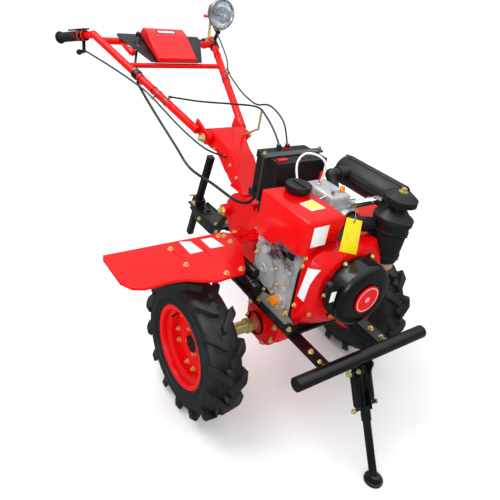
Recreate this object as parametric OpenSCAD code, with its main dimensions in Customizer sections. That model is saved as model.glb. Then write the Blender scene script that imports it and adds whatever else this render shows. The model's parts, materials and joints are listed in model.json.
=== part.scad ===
// Walk-behind diesel power tiller (two-wheel walking tractor), millimetres, +X forward, +Y left, +Z up.
// Ground is z = 0, the wheel axle is above x = 0. Rests on both wheels and the front stand.

/* [Wheels] */
// Outside diameter over the lugs
wheel_d = 486; // [470:2:500]
// Tyre section width
tyre_w = 116; // [108:1:122]
// Distance between the tyre centres
track = 724; // [712:2:760]
// Bead seat diameter of the rim
rim_d = 254; // [254:1:254]
// Height of the tread lugs
lug_h = 22; // [16:1:26]
// Lugs on each side of each tyre
lug_n = 14; // [12:1:15]
// Diameter of the half shafts
shaft_d = 38; // [34:1:42]

/* [Front frame] */
// Distance over the outer faces of the frame rails
rails_w = 300; // [296:2:312]
// Length of the bumper pipe
bumper_len = 530; // [480:5:600]
// Outside diameter of the bumper pipe
bumper_d = 42; // [38:1:46]
// Forward position of the bumper pipe centre
bumper_x = 379; // [374:1:390]
// Height of the rail tops
rail_z = 357; // [357:1:357]
// How far ahead of the bumper the stand foot rests
stand_reach = 178; // [160:2:190]
// Outside diameter of the stand foot
foot_d = 60; // [54:2:72]

/* [Engine] */
// Height of the crankshaft over the ground
crank_z = 544; // [542:1:546]
// Diameter of the recoil starter housing
recoil_d = 204; // [190:2:208]
// Outside diameter of the air cleaner can
air_d = 114; // [106:2:118]
// Height of the tank top over the ground
tank_top = 760; // [750:2:770]

/* [Handlebar] */
// Outside diameter of the handle tubes
tube_d = 30; // [28:1:32]
// Length of the straight handle tubes from the pivot bolts
tube_len = 700; // [680:5:730]
// Rise of the handle tubes in degrees
tube_rise = 18.5; // [17:0.1:20]
// Outward splay of the handle tubes in degrees
tube_splay = 16.8; // [16:0.1:17.4]
// Outside diameter of the rubber grips
grip_d = 38; // [35:1:41]
// Outside diameter of the headlamp rim
lamp_d = 128; // [116:2:134]

/* [Rear] */
// Side of the square depth stake
stake_w = 25; // [22:1:28]
// Bore of the hitch pin
hitch_bore = 22; // [16:1:25]

/* [Hidden] */
$fn = 48;
e = 0.3;                       // seat clearance between pieces
axle_z = wheel_d / 2;
ty = track / 2;
rb = rim_d / 2;
rf = rb + 15;                  // rim flange radius
pv = [-503, 89, 730];          // handle pivot, left side
ur = [-cos(tube_rise) * cos(tube_splay), cos(tube_rise) * sin(tube_splay), sin(tube_rise)];
th = atan(tan(tube_rise) / cos(tube_splay));   // slope of the plane through both handle tubes
function tubep(s, k) = [pv[0] + s * ur[0], k * (pv[1] + s * ur[1]), pv[2] + s * ur[2]];
gv = [-207, 79, -57];          // run of the left grip from the bend
gl = norm(gv);
function gripp(s, k) = tubep(tube_len, k) + s / gl * [gv[0], k * gv[1], gv[2]];
grip_s0 = 118;
grip_s1 = gl - 7;
cross_a = 476;                 // lower cross tube, measured along the handle tubes
cross_b = 655;                 // upper cross tube
foot_x = bumper_x + stand_reach;
rear_x = gripp(gl, 1)[0] - (grip_d / 2 + 6) * sqrt(1 - pow(gv[0] / gl, 2));
ox = (foot_x + foot_d / 2 + rear_x) / 2;   // the origin is below the middle of the whole length
module at() translate([-ox, 0, 0]) children();
red = [0.86, 0.06, 0.07];
black = [0.08, 0.08, 0.09];
silver = [0.68, 0.69, 0.70];
zinc = [0.76, 0.68, 0.40];

module between(p, q) {
  v = q - p;
  translate(p) rotate([0, acos(v[2] / norm(v)), atan2(v[1], v[0])]) children();
}
module rod(p, q, d) between(p, q) cylinder(h = norm(q - p), d = d);
module ball(p, d) translate(p) sphere(d = d);
module box(a, b) translate(a) cube(b - a);
module ycyl(x, z, y0, y1, d) translate([x, y0, z]) rotate([-90, 0, 0]) cylinder(h = y1 - y0, d = d);
module xcyl(x0, x1, y, z, d) translate([x0, y, z]) rotate([0, 90, 0]) cylinder(h = x1 - x0, d = d);
module zcyl(x, y, z0, z1, d) translate([x, y, z0]) cylinder(h = z1 - z0, d = d);
// plate of a side outline [x, z] from y0 to y1
module sideplate(y0, y1, pts) translate([0, y1, 0]) rotate([90, 0, 0]) linear_extrude(height = y1 - y0) polygon(pts);
// bars with rounded long edges, along x and along z
module xbar(a, b, r) {
  box([a[0], a[1] + r, a[2]], [b[0], b[1] - r, b[2]]);
  box([a[0], a[1], a[2] + r], [b[0], b[1], b[2] - r]);
  for (y = [a[1] + r, b[1] - r]) for (z = [a[2] + r, b[2] - r]) xcyl(a[0], b[0], y, z, 2 * r);
}
module zbar(a, b, r) {
  box([a[0] + r, a[1], a[2]], [b[0] - r, b[1], b[2]]);
  box([a[0], a[1] + r, a[2]], [b[0], b[1] - r, b[2]]);
  for (x = [a[0] + r, b[0] - r]) for (y = [a[1] + r, b[1] - r]) zcyl(x, y, a[2], b[2], 2 * r);
}
module ybar(a, b, r) {
  box([a[0] + r, a[1], a[2]], [b[0] - r, b[1], b[2]]);
  box([a[0], a[1], a[2] + r], [b[0], b[1], b[2] - r]);
  for (x = [a[0] + r, b[0] - r]) for (z = [a[2] + r, b[2] - r]) ycyl(x, z, a[1], b[1], 2 * r);
}
// box rounded on every edge
module rbox(a, b, rx, ry, rz) intersection() { xbar(a, b, rx); ybar(a, b, ry); zbar(a, b, rz); }
// local frame of the handle tubes' plane: -x runs up the tubes, z stands off them
module tubeplane() translate([pv[0], 0, pv[2]]) rotate([0, th, 0]) children();

// ---- wheels --------------------------------------------------------------
module tyre_body() {
  hw = tyre_w / 2;
  rc = wheel_d / 2 - lug_h;
  rotate([90, 0, 0]) rotate_extrude($fn = 96) polygon([
    [rb + e, -hw + 13], [rf + 0.6, -hw + 13], [rf + 0.6, -hw + 7], [rf + 12, -hw + 2], [rf + 30, -hw],
    [rc - 24, -hw + 1], [rc - 10, -hw + 7], [rc - 3, -hw + 18], [rc, 0],
    [rc - 3, hw - 18], [rc - 10, hw - 7], [rc - 24, hw - 1], [rf + 30, hw], [rf + 12, hw - 2],
    [rf + 0.6, hw - 7], [rf + 0.6, hw - 13], [rb + e, hw - 13],
    [rb + e, hw - 22], [rf + 20, hw - 11], [rc - 26, hw - 12], [rc - 14, hw - 26], [rc - 12, 0],
    [rc - 14, -hw + 26], [rc - 26, -hw + 12], [rf + 20, -hw + 11], [rb + e, -hw + 22]]);
}
// one bar of the chevron tread, from the middle of the tyre over the shoulder; the middle leads
module lug(k) {
  hw = tyre_w / 2;
  rc = wheel_d / 2 - lug_h;
  translate([0, 0, rc - 24]) linear_extrude(height = lug_h + 40)
    polygon([[27, -k * 2], [45, -k * 2], [40, k * 12], [12, k * (hw - 14)], [-4, k * (hw + 3)],
      [-28, k * (hw + 3)], [-20, k * (hw - 16)], [14, k * 12]]);
}
module tyre() difference() {
  union() {
    tyre_body();
    intersection() {
      union() for (i = [0 : lug_n - 1]) for (k = [-1, 1])
        rotate([0, i * 360 / lug_n + k * 90 / lug_n, 0]) lug(k);
      rotate([90, 0, 0]) rotate_extrude($fn = 96) polygon([
        [wheel_d / 2 - lug_h - 20, -tyre_w / 2 - 2], [wheel_d / 2 - 13, -tyre_w / 2 - 2], [wheel_d / 2 - 3, -tyre_w / 2 + 8],
        [wheel_d / 2, 0], [wheel_d / 2 - 3, tyre_w / 2 - 8], [wheel_d / 2 - 13, tyre_w / 2 + 2],
        [wheel_d / 2 - lug_h - 20, tyre_w / 2 + 2]]);
    }
  }
  rotate([90, 0, 0]) cylinder(h = tyre_w + 20, d = 2 * (rb + 4), center = true, $fn = 96);
}
module tyre_right() color(black) at() translate([0, -ty, axle_z]) tyre();
module tyre_left() color(black) at() translate([0, ty, axle_z]) mirror([0, 1, 0]) tyre();

hub_y = 58;                    // inward length of the hub tube
module rim() {
  hw = tyre_w / 2 - 13;
  rotate([90, 0, 0]) difference() {
    union() {
      rotate_extrude($fn = 96) polygon([[rb - 3, -hw], [rb - 1, -hw - e - 3], [rf - 2, -hw - e - 5], [rf, -hw - e - 3],
        [rf, -hw - e], [rb, -hw - e], [rb, -hw + 16], [rb - 15, -hw + 24], [rb - 15, hw - 24], [rb, hw - 16],
        [rb, hw + e], [rf, hw + e], [rf, hw + e + 3], [rf - 2, hw + e + 5], [rb - 1, hw + e + 3], [rb - 3, hw],
        [rb - 3, hw - 15], [rb - 18, hw - 23], [rb - 18, -hw + 23], [rb - 3, -hw + 15]]);
      rotate_extrude($fn = 96) polygon([[28, -16], [66, -16], [80, -4], [rb - 17, -4], [rb - 17, 0], [78, 0],
        [64, -12], [28, -12]]);
      translate([0, 0, -hub_y]) cylinder(h = hub_y + 6, d = 66);
      translate([0, 0, -23]) cylinder(h = 7, d = 118);
    }
    translate([0, 0, -hub_y - 2]) cylinder(h = hub_y * 2, d = shaft_d + 2 * e);
  }
}
module rim_right() color(red) at() translate([0, -ty, axle_z]) rim();
module rim_left() color(red) at() translate([0, ty, axle_z]) mirror([0, 1, 0]) rim();
boss_y = 112;                  // outer face of the axle bosses
// half shaft: round in the boss and in the hub, six-sided with a collar between
module half_shaft() {
  translate([0, -ty, axle_z]) rotate([-90, 0, 0]) {
    translate([0, 0, -2]) cylinder(h = ty - 82 + 2, d = shaft_d);
    translate([0, 0, hub_y + e]) cylinder(h = ty - 146 - hub_y, d = (shaft_d + 2) / cos(30), $fn = 6);
    translate([0, 0, ty - 152]) cylinder(h = 152 - boss_y - 1, d = shaft_d + 6);
    translate([0, 0, ty - 158]) cylinder(h = 11, d = shaft_d + 16);
  }
}
module half_shaft_right() color(zinc) at() half_shaft();
module half_shaft_left() color(zinc) at() mirror([0, 1, 0]) half_shaft();

// ---- transmission ----------------------------------------------------------
case_out = [[-84, 250], [-72, 190], [-40, 160], [40, 160], [72, 190], [84, 250], [60, 300], [10, 330], [-60, 352],
  [-96, 400], [-104, 470], [-150, 520], [-176, 560], [-196, 600], [-262, 600], [-320, 585], [-352, 540], [-344, 480],
  [-300, 420], [-230, 350], [-150, 270], [-100, 200]];
case_in = [[-60, 240], [-40, 190], [40, 190], [66, 240], [40, 296], [-66, 336], [-110, 396], [-118, 474],
  [-190, 584], [-262, 588], [-312, 574], [-340, 536], [-330, 484], [-286, 424], [-220, 358], [-130, 262]];
module gearbox() color(red) at() {
  difference() {
    union() {
      ycyl(0, axle_z, -78, 78, 166);
      ycyl(0, axle_z, -boss_y, boss_y, 86);
      ycyl(0, axle_z, 78, 88, 176);
      sideplate(-58, 58, case_out);
      xcyl(-168, -72, 0, crank_z, 168);
      xcyl(-76, -62 - e, 0, crank_z, 190);
      ycyl(-335, 512, -84, -57, 46);
      ycyl(-250, 452, -74, -57, 60);
      for (z = [300, 335]) box([-70, -62, z], [-20, 62, z + 8]);
    }
    for (k = [-1, 1]) ycyl(0, axle_z, k > 0 ? 82 : -boss_y - 2, k > 0 ? boss_y + 2 : -82, shaft_d + 2 * e);
    sideplate(-52, 52, case_in);
    ycyl(0, axle_z, -70, 70, 146);
    xcyl(-162, -84, 0, crank_z, 152);
  }
}
// bolted cover plate on the right of the final drive
module gearbox_cover() color(red) at() difference() {
  union() {
    ycyl(0, axle_z, -88, -78 - e, 176);
    sideplate(-88, -78 - e, [[10, 320], [60, 330], [92, 300], [92, 250], [60, 190]]);
    ycyl(0, axle_z, -96, -78 - e, 112);
    for (a = [20 : 45 : 335]) translate([0, 0, axle_z]) rotate([0, a, 0]) ycyl(80, 0, -91, -78 - e, 18);
  }
  ycyl(0, axle_z, -98, -70, 86 + 2 * e);
}

// ---- front frame -----------------------------------------------------------
rail_h = 42;
rail_x0 = -60;
bumper_z = rail_z + 15;
module rail() {
  box([rail_x0, rails_w / 2 - 45, rail_z - 5], [bumper_x - 12, rails_w / 2, rail_z]);
  box([rail_x0, rails_w / 2 - 45, rail_z - rail_h], [bumper_x - 12, rails_w / 2 - 40, rail_z]);
}
module frame_rails() color(black) at() {
  difference() {
    union() {
      rail();
      mirror([0, 1, 0]) rail();
      for (x = [-58, 164]) box([x, -rails_w / 2 + 41, rail_z - 8], [x + 36, rails_w / 2 - 41, rail_z - 0.2]);
      for (k = [-1, 1]) {
        box([-50, k * 92 - 3, axle_z + 46], [26, k * 92 + 3, rail_z - 7]);
        box([-50, min(k * 92, k * 78) - 3, axle_z + 60], [26, max(k * 92, k * 78) + 3, axle_z + 66]);
        box([-50, k * 100 - 10, rail_z - 12], [26, k * 100 + 10, rail_z - 4]);
      }
    }
    ycyl(bumper_x, bumper_z, -300, 300, bumper_d + 2 * e);
    ycyl(0, axle_z, -89, 89, 177);
    ycyl(0, axle_z, -98, -70, 190);
    sideplate(-58 - e, 58 + e, case_out);
  }
}
module bumper() color(black) at() difference() {
  ycyl(bumper_x, bumper_z, -bumper_len / 2, bumper_len / 2, bumper_d);
  ycyl(bumper_x, bumper_z, -bumper_len / 2 - 5, bumper_len / 2 + 5, bumper_d - 6);
}
piv_x = bumper_x + 3;
piv_z = bumper_z - bumper_d / 2 - 33;
sa = atan2(foot_x - piv_x, piv_z - 8);
leg_l = norm([foot_x - piv_x, piv_z - 8]);
pin_l = leg_l - 118;            // cross pin of the springs, measured from the foot
module stand_bracket() color(black) at() difference() {
  union() {
    for (k = [-1, 1]) sideplate(k * 19 - 3, k * 19 + 3, [[piv_x - 26, bumper_z - 8], [piv_x + 22, bumper_z - 14],
      [piv_x + 26, piv_z - 2], [piv_x + 14, piv_z - 14], [piv_x - 8, piv_z - 14], [piv_x - 26, piv_z + 6]]);
    ycyl(piv_x, piv_z, -46, 46, 12);
    for (k = [-1, 1]) ycyl(piv_x, piv_z, min(k * 22, k * 26), max(k * 22, k * 26), 24);
  }
  ycyl(bumper_x, bumper_z, -40, 40, bumper_d + 2 * e);
}
module leg_frame() translate([piv_x, 0, piv_z]) rotate([0, -sa, 0]) translate([0, 0, -leg_l]) children();
module stand_leg() color(black) at() {
  leg_frame() difference() {
    union() {
      translate([0, 0, -2]) cylinder(h = pin_l + 2, d = 25);
      translate([0, 0, pin_l - 44]) cylinder(h = 48, d = 31);
      for (k = [-1, 1]) rotate([90, 0, 0]) translate([0, 0, k * 13 - 2.5]) linear_extrude(height = 5)
        polygon([[-16, pin_l - 10], [16, pin_l - 10], [13, leg_l + 4], [8, leg_l + 11], [-8, leg_l + 11], [-13, leg_l + 4]]);
      box([-16, -14, pin_l - 8], [-11, 14, pin_l + 40]);
      ycyl(0, pin_l, -46, 46, 10);
    }
    ycyl(0, leg_l, -30, 30, 12 + 2 * e);
  }
  difference() {
    union() {
      zcyl(foot_x, 0, 0, 7, foot_d);
      translate([foot_x, 0, 6.9]) cylinder(h = 16, d1 = foot_d - 14, d2 = 32);
    }
    zcyl(foot_x, 0, -1, 3, foot_d - 24);
  }
}
// covered return spring between the bracket pin and the leg's cross pin
module stand_spring(k) {
  p = [piv_x, k * 35, piv_z];
  leg = [piv_x + sin(sa) * (leg_l - pin_l), k * 35, piv_z - cos(sa) * (leg_l - pin_l)];
  difference() {
    rod(p + 0.02 * (leg - p), leg - 0.02 * (leg - p), 17);
    ycyl(leg[0], leg[2], -60, 60, 10 + 2 * e);
    ycyl(piv_x, piv_z, -60, 60, 12 + 2 * e);
  }
}
module stand_spring_right() color(black) at() stand_spring(-1);
module stand_spring_left() color(black) at() stand_spring(1);

// ---- engine ----------------------------------------------------------------
cx0 = -62;
cx1 = 168;
module crankcase() color(silver) at() {
  rbox([cx0, -118, rail_z + 22], [cx1, 122, 604], 14, 10, 12);
  for (k = [-1, 1]) box([cx0 + 8, k * 92 - 34, rail_z + e], [cx1 - 16, k * 92 + 34, rail_z + 40]);
  box([cx0 + 20, -60, rail_z + 16], [cx1 - 20, 60, rail_z + 40]);
  sideplate(-126, -110, [[-52, 430], [-52, 548], [-20, 590], [60, 590], [96, 560], [132, 500], [132, 400], [100, 378], [-20, 378]]);
  for (p = [[84, 418], [-34, 560], [84, 560]]) ycyl(p[0], p[1], -131, -110, 18);
  ycyl(96, 420, -132, -120, 36);
  sideplate(118, 132, [[-40, 400], [-40, 560], [140, 560], [140, 400]]);
}
module cylinder_barrel() color(silver) at() {
  zbar([-24, -2, 604 + e], [96, 98, 652], 30);
  for (z = [611, 620, 629, 638]) zbar([-38, -14, z], [110, 110, z + 4], 18);
}
module cylinder_head() color(silver) at() {
  zbar([-40, -18, 652 + e], [112, 112, 668], 12);
  zbar([-34, -12, 667], [106, 106, 717], 16);
  for (z = [676, 686, 696, 706]) zbar([-44, -20, z], [114, 112, z + 4], 12);
  xcyl(104, 130, 62, 692, 50);
  ycyl(-22, 692, 100, 118, 50);
}
module rocker_cover() color(silver) at() {
  rbox([-34, 4, 717 + e], [100, 86, 758], 12, 14, 14);
  zbar([-40, -2, 717 + e], [106, 92, 724], 12);
  zcyl(60, 46, 757, 768, 30);
}
sh0 = 184;
sh1 = 250;
module shroud_plate() color(black) at() difference() {
  xbar([cx1 + e, -140, crank_z - 160], [sh0, 140, crank_z + 60], 40);
  canframe() zcyl(0, 0, -40, 200, air_d + 9);
}
module fan_shroud() color(red) at() difference() {
  intersection() {
    xbar([sh0 + e, -144, crank_z - 158], [sh1, 144, crank_z + 122], 52);
    translate([sh0, 0, crank_z]) rotate([0, 90, 0]) cylinder(h = sh1 - sh0, r1 = 196, r2 = 126, $fn = 96);
  }
  xcyl(236, 260, 0, crank_z, recoil_d - 16);
  canframe() zcyl(0, 0, -40, 200, air_d + 9);
}
rec1 = 306;
module recoil_cover() color(black) at() difference() {
  union() {
    xcyl(sh1 + e, rec1, 0, crank_z, recoil_d);
    translate([rec1 - 0.01, 0, crank_z]) rotate([0, 90, 0]) cylinder(h = 16, d1 = recoil_d, d2 = recoil_d - 28);
    for (a = [30 : 60 : 330]) translate([0, 0, crank_z]) rotate([a, 0, 0])
      box([sh1 + e, -9, recoil_d / 2 - 8], [sh1 + 8, 9, recoil_d / 2 + 14]);
  }
  for (a = [0 : 18 : 342]) translate([0, 0, crank_z]) rotate([a + 9, 0, 0]) box([rec1 + 6, -3.5, 54], [rec1 + 20, 3.5, 82]);
  
}
module recoil_disc() color(red) at() {
  xcyl(rec1 + 16 + e, rec1 + 22, 0, crank_z, 90);
}
module recoil_handle() color(black) at() {
  difference() {
    union() {
      rod([290, -132, crank_z + 62], [290, -110, crank_z - 12], 24);
      ball([290, -132, crank_z + 62], 26);
      ball([290, -110, crank_z - 12], 26);
      rod([290, -120, crank_z + 26], [282, -92, crank_z + 20], 14);
    }
    xcyl(200, 400, 0, crank_z, recoil_d + 2 * e);
  }
}
module tank_bracket() color(black) at() {
  for (x = [0, 130]) {
    box([x, -112, 604 + e], [x + 28, -40, 609]);
    box([x, -60, 604 + e], [x + 28, -54, x > 100 ? 650 : 618]);
    box([x, -112, x > 100 ? 645 : 613], [x + 28, -54, x > 100 ? 650 : 618]);
  }
}
module fuel_tank() color(red) at() difference() {
  intersection() {
    rbox([-28, -174, 600], [204, -26, tank_top], 22, 24, 24);
    sideplate(-200, 0, [[-40, 622], [-10, 618 + e], [60, 618 + e], [112, 650 + e], [210, 650 + e], [210, 800], [-40, 800]]);
  }
  translate([sh0 - 2, 0, crank_z]) rotate([0, 90, 0]) cylinder(h = 90, r1 = 198, r2 = 126, $fn = 96);
  box([-40, -60, 600], [60, 20, 650]);
}
module tank_cap() color(black) at() {
  zcyl(32, -80, tank_top + e, tank_top + 8, 64);
  zcyl(32, -80, tank_top + 7, tank_top + 26, 78);
}
mz = 732;
my = 262;
module muffler() color(black) at() {
  difference() {
    union() {
      translate([-138, my, mz]) rotate([0, 90, 0]) rotate_extrude() polygon([[0, 0], [26, 2], [42, 13], [49, 31],
        [49, 267], [42, 287], [26, 296], [0, 298]]);
      zbar([-144, my - 55, mz - 2], [166, my + 55, mz + 2], 47);
    }
    translate([-138, my, mz]) rotate([0, 90, 0]) rotate_extrude() polygon([[0, 3], [25, 5], [39.5, 15], [46, 32],
      [46, 266], [39.5, 284], [25, 293], [0, 295]]);
  }
  ycyl(-22, 692, 118 + e, 142, 40);
  ball([-22, 142, 692], 43);
  rod([-22, 142, 692], [-60, 142, 750], 38);
  ball([-60, 142, 750], 41);
  rod([-60, 142, 750], [-64, 236, 750], 38);
  rod([-60.8, 170, 750], [-61.5, 186, 750], 48);
  box([52, 114 + e, 700], [88, 226, 705]);
  box([52, 112 + e, 672], [88, 117, 705]);
}
ac = [198, 164, 537];          // bottom of the bowl
module canframe() translate(ac) rotate([-2.4, 1.8, 0]) children();
module air_cleaner() color(black) at() {
  canframe() {
    zcyl(0, 0, 47, 181, air_d);
    zcyl(0, 0, 173, 189, air_d + 10);
    translate([0, 0, 188]) cylinder(h = 29, d1 = air_d, d2 = 59);
    zcyl(0, 0, 216, 244, 51);
    zcyl(0, 0, 236, 254, 104);
    translate([0, 0, 253]) cylinder(h = 16, d1 = 104, d2 = 59);
    for (z = [61, 142]) zcyl(0, 0, z, z + 10, air_d + 5);
  }
}
module air_bowl() color([0.72, 0.62, 0.47]) at() canframe() {
  zcyl(0, 0, 22, 47 - e, 104);
  cylinder(h = 22.1, d1 = 80, d2 = 104);
}
module intake_elbow() color(black) at() difference() {
  union() {
    xcyl(130 + e, 156, 62, 692, 46);
    ball([156, 62, 692], 49);
    rod([156, 62, 692], [198, 162, 692], 46);
    xcyl(130 + e, 137, 62, 692, 62);
  }
  canframe() zcyl(0, 0, 30, 200, air_d + 10 + 2 * e);
}
module starter_motor() color(black) at() {
  xcyl(-108, 6, -158, 410, 62);
  xcyl(6, 26, -158, 410, 50);
  xcyl(-100, -10, -145, 452, 36);
  box([-50, -150, 396], [-20, -126 - e, 440]);
}
module injection_pump() color(silver) at() {
  box([-20, -150, 548], [46, -126 - e, 604]);
  zcyl(-2, -146, 560, 613, 26);
  zcyl(-2, -146, 590, 600, 34);
  ycyl(34, 578, -168, -140, 26);
  rod([-2, -146, 606], [-40, -152, 612], 8);
}

// ---- column and handlebar -----------------------------------------------------
// pressed box column: side outline cut by its plan outline
module colbox(w, o) intersection() {
  sideplate(-w, w, [[-262 - o, 600 + e], [-352 + o, 600 + e], [-408 + o, 634], [-461 + o, 690], [-512, 702 + o],
    [-542 + o, 722], [-538 + o, 752 - o], [-500, 764 - o], [-366 - o, 700 - o], [-282 - o, 608]]);
  translate([0, 0, 500]) linear_extrude(height = 400) polygon([[-200, 44 - o], [-400, 46 - o], [-455, 58 - o], [-490, w],
    [-560, w], [-560, -w], [-490, -w], [-455, -58 + o], [-400, -46 + o], [-200, -44 + o]]);
}
module column() color(red) at() {
  difference() {
    colbox(72, 0);
    difference() { colbox(69, 3.5); box([-400, -80, 590], [-200, 80, 606]); }
  }
  for (k = [-1, 1]) ycyl(pv[0], pv[2], min(k * 71, k * 80), max(k * 71, k * 80), 54);
  box([-352, -54, 600 + e], [-258, 54, 607]);
}
ear_t = 8;
module handlebar() color(red) at() {
  difference() {
    union() {
      for (k = [-1, 1]) {
        rod(tubep(44, k), tubep(tube_len, k), tube_d);
        between(tubep(tube_len, k), gripp(10, k)) sphere(d = tube_d + 2);
        rod(tubep(tube_len, k), gripp(grip_s1 - 3, k), tube_d - 2);
        translate([pv[0], k * (80 + e + ear_t / 2), pv[2]]) rotate([0, tube_rise, 0]) mirror([1, 0, 0]) {
          ycyl(0, 0, -ear_t / 2, ear_t / 2, 50);
          box([0, -ear_t / 2, -22], [86, ear_t / 2, 22]);
        }
      }
      rod(tubep(cross_b, -1), tubep(cross_b, 1), tube_d - 3);
      rod(tubep(cross_a, -1), tubep(cross_a, 1), 20);
    }
    for (k = [-1, 1]) {
      rod(tubep(110, k), tubep(tube_len - 14, k), tube_d - 4);
      rod(gripp(16, k), gripp(grip_s1 + 10, k), tube_d - 6);
    }
    rod(tubep(cross_b, -1), tubep(cross_b, 1), tube_d - 7);
    rod(tubep(cross_a, -1), tubep(cross_a, 1), 15);
  }
  for (k = [-1, 1]) ycyl(pv[0], pv[2], min(k * (80 + e + ear_t - 1), k * (100 + e)), max(k * (80 + e + ear_t - 1), k * (100 + e)), 20);
}
module grip(k) difference() {
  union() {
    rod(gripp(grip_s0, k), gripp(grip_s1, k), grip_d);
    rod(gripp(grip_s1, k), gripp(gl, k), grip_d + 12);
  }
  rod(gripp(grip_s0 - 5, k), gripp(grip_s1 - 3 + e, k), tube_d - 2 + 2 * e);
}
module grip_right() color(black) at() grip(-1);
module grip_left() color(black) at() grip(1);
// clamp bracket and blades of the clutch and brake levers on the right grip
module hand_lever_right() color(black) at() difference() {
  union() {
    rod(gripp(52, -1), gripp(104, -1), tube_d + 12);
    rod(gripp(66, -1), gripp(66, -1) + [0, 0, -62], 14);
    between(gripp(40, -1) + [0, 0, 24], gripp(158, -1) + [0, 0, 26]) translate([-3, -9, 0]) cube([6, 18, 118 * norm([1, 0, 0])]);
    rod(gripp(78, -1), gripp(78, -1) + [0, 0, 26], 12);
    rod(gripp(66, -1) + [0, 0, -62], gripp(66, -1) + [-34, -10, -74], 16);
    ball(gripp(66, -1) + [0, 0, -62], 16);
    ball(gripp(66, -1) + [-34, -10, -74], 24);
  }
  rod(gripp(30, -1), gripp(grip_s0 + 30, -1), tube_d - 2 + 2 * e);
}
// hand throttle on a post beside the left grip
thp = [-1204, 262, 0];
module throttle_lever() color(zinc) at() {
  difference() {
    union() {
      rod(gripp(40, 1), gripp(76, 1), tube_d + 10);
      zcyl(thp[0], gripp(58, 1)[1], gripp(58, 1)[2], 1052, 12);
      rod([thp[0] - 26, gripp(58, 1)[1] - 22, 1042], [thp[0] + 26, gripp(58, 1)[1] + 22, 1042], 12);
      zcyl(thp[0], gripp(58, 1)[1], 1040, 1074, 9);
      ball([thp[0], gripp(58, 1)[1], 1084], 28);
    }
    rod(gripp(20, 1), gripp(100, 1), tube_d - 2 + 2 * e);
  }
}
module dash_tray() color(black) at() difference() {
  tubeplane() difference() {
    union() {
      translate([0, 0, 15]) linear_extrude(height = 2.2)
        polygon([[-460, -118], [-460, 118], [-640, 196], [-662, 190], [-662, -190], [-640, -196]]);
      box([-478, -100, 10 + e], [-462, 100, 16]);
      box([-658, -150, 13.5 + e], [-640, 150, 16]);
    }
    box([-630, -60, 14], [-500, 60, 30]);
  }
  rod(knob_p, lever_p, 16);
  ball(knob_p, 30);
}
cover_out = [[-454, 18 + e], [-650, 18 + e], [-656, 36], [-646, 56], [-628, 66], [-590, 68], [-568, 62], [-458, 34]];
module dash_cover() color(red) at() tubeplane() difference() {
  intersection() {
    sideplate(-92, 92, cover_out);
    zbar([-657, -92, 0], [-452, 92, 90], 22);
    xbar([-670, -92, -30], [-440, 92, 68], 22);
  }
  sideplate(-89.6, 89.6, [[-457, 10], [-647.4, 10], [-653.3, 36], [-644, 54], [-627.4, 63.4], [-590.8, 65.4],
    [-568.8, 59.4], [-460, 31.4]]);
  box([-612, -52, 60], [-588, 40, 90]);
}
lamp = [-1072, 272, 1074];
module headlamp() color(silver) at() difference() {
  translate(lamp) rotate([0, 90, 0]) rotate_extrude() polygon([[0, -58], [26, -54], [44, -40], [56, -14], [58, 0],
    [lamp_d / 2, 2], [lamp_d / 2, 14], [lamp_d / 2 - 3, 14], [lamp_d / 2 - 3.6, 5], [55, 3], [53, -13], [41.5, -38],
    [24, -51], [0, -54.5]]);
}
module headlamp_lens() color([0.9, 0.92, 0.95]) at() translate(lamp) rotate([0, 90, 0]) rotate_extrude()
  polygon([[0, 12], [lamp_d / 2 - 3.7, 8], [lamp_d / 2 - 3.7, 10], [30, 17], [0, 19]]);
module lamp_bracket() color(black) at() {
  p = tubep(cross_b - 6, 1);
  difference() {
    union() {
      rod(tubep(cross_b - 24, 1), tubep(cross_b + 14, 1), tube_d + 12);
      rod([p[0] - 6, p[1], p[2] + 14], [lamp[0] - 6, lamp[1], lamp[2] - 74], 16);
      zcyl(lamp[0] - 6, lamp[1], lamp[2] - 80, lamp[2] - 52, 22);
      ball([lamp[0] - 6, lamp[1], lamp[2] - 76], 22);
    }
    rod(tubep(cross_b - 40, 1), tubep(cross_b + 40, 1), tube_d + 2 * e);
    rod(tubep(cross_b, -1), tubep(cross_b, 1), tube_d - 3 + 2 * e);
    translate(lamp) rotate([0, 90, 0]) cylinder(h = 60, d = 116 + 2 * e, center = true);
    translate(lamp - [e, 0, 0]) rotate([0, 90, 0]) cylinder(h = 30, d = lamp_d + 2 * e);
  }
}
knob_p = [-1070, -116, 973];
lever_p = [-1000, -158, 870];
module shift_lever() color(black) at() {
  rod(knob_p, lever_p, 10);
  ball(knob_p, 24);
  ball(lever_p, 13);
  rod(lever_p, [-884, -176, 822], 10);
  difference() {
    rod(tubep(400, -1), tubep(424, -1), tube_d + 10);
    rod(tubep(380, -1), tubep(450, -1), tube_d + 2 * e);
  }
  rod([-884, -176, 822], tubep(412, -1) + [0, 10, -18], 13);
}
bx0 = -206;
bx1 = -84;
module battery() color(black) at() {
  zbar([bx0, -68, 644 + e], [bx1, 130, 782], 6);
  zbar([bx0 - 3, -71, 776], [bx1 + 3, 133, 798], 8);
  for (y = [8, 44]) zcyl(-192, y, 797, 811, 18);
}
module battery_tray() color(black) at() {
  box([bx0 - 6, -74, 639], [bx1 + 6, 136, 644]);
  for (y = [-74, 132]) box([bx0 - 6, y, 639], [bx1 + 6, y + 4, 662]);
  difference() {
    for (y = [-66, 60]) box([-156, y, 560], [-100, y + 6, 640]);
    xcyl(-180, -60, 0, crank_z, 168 + 2 * e);
  }
}
module battery_hold_down() color(zinc) at() {
  zbar([-160, -90, 798 + e], [-130, 154, 804], 4);
  for (y = [-84, 146]) {
    zcyl(-145, y, 650, 812, 7);
    zcyl(-145, y, 803, 809, 14);
  }
}

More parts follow.
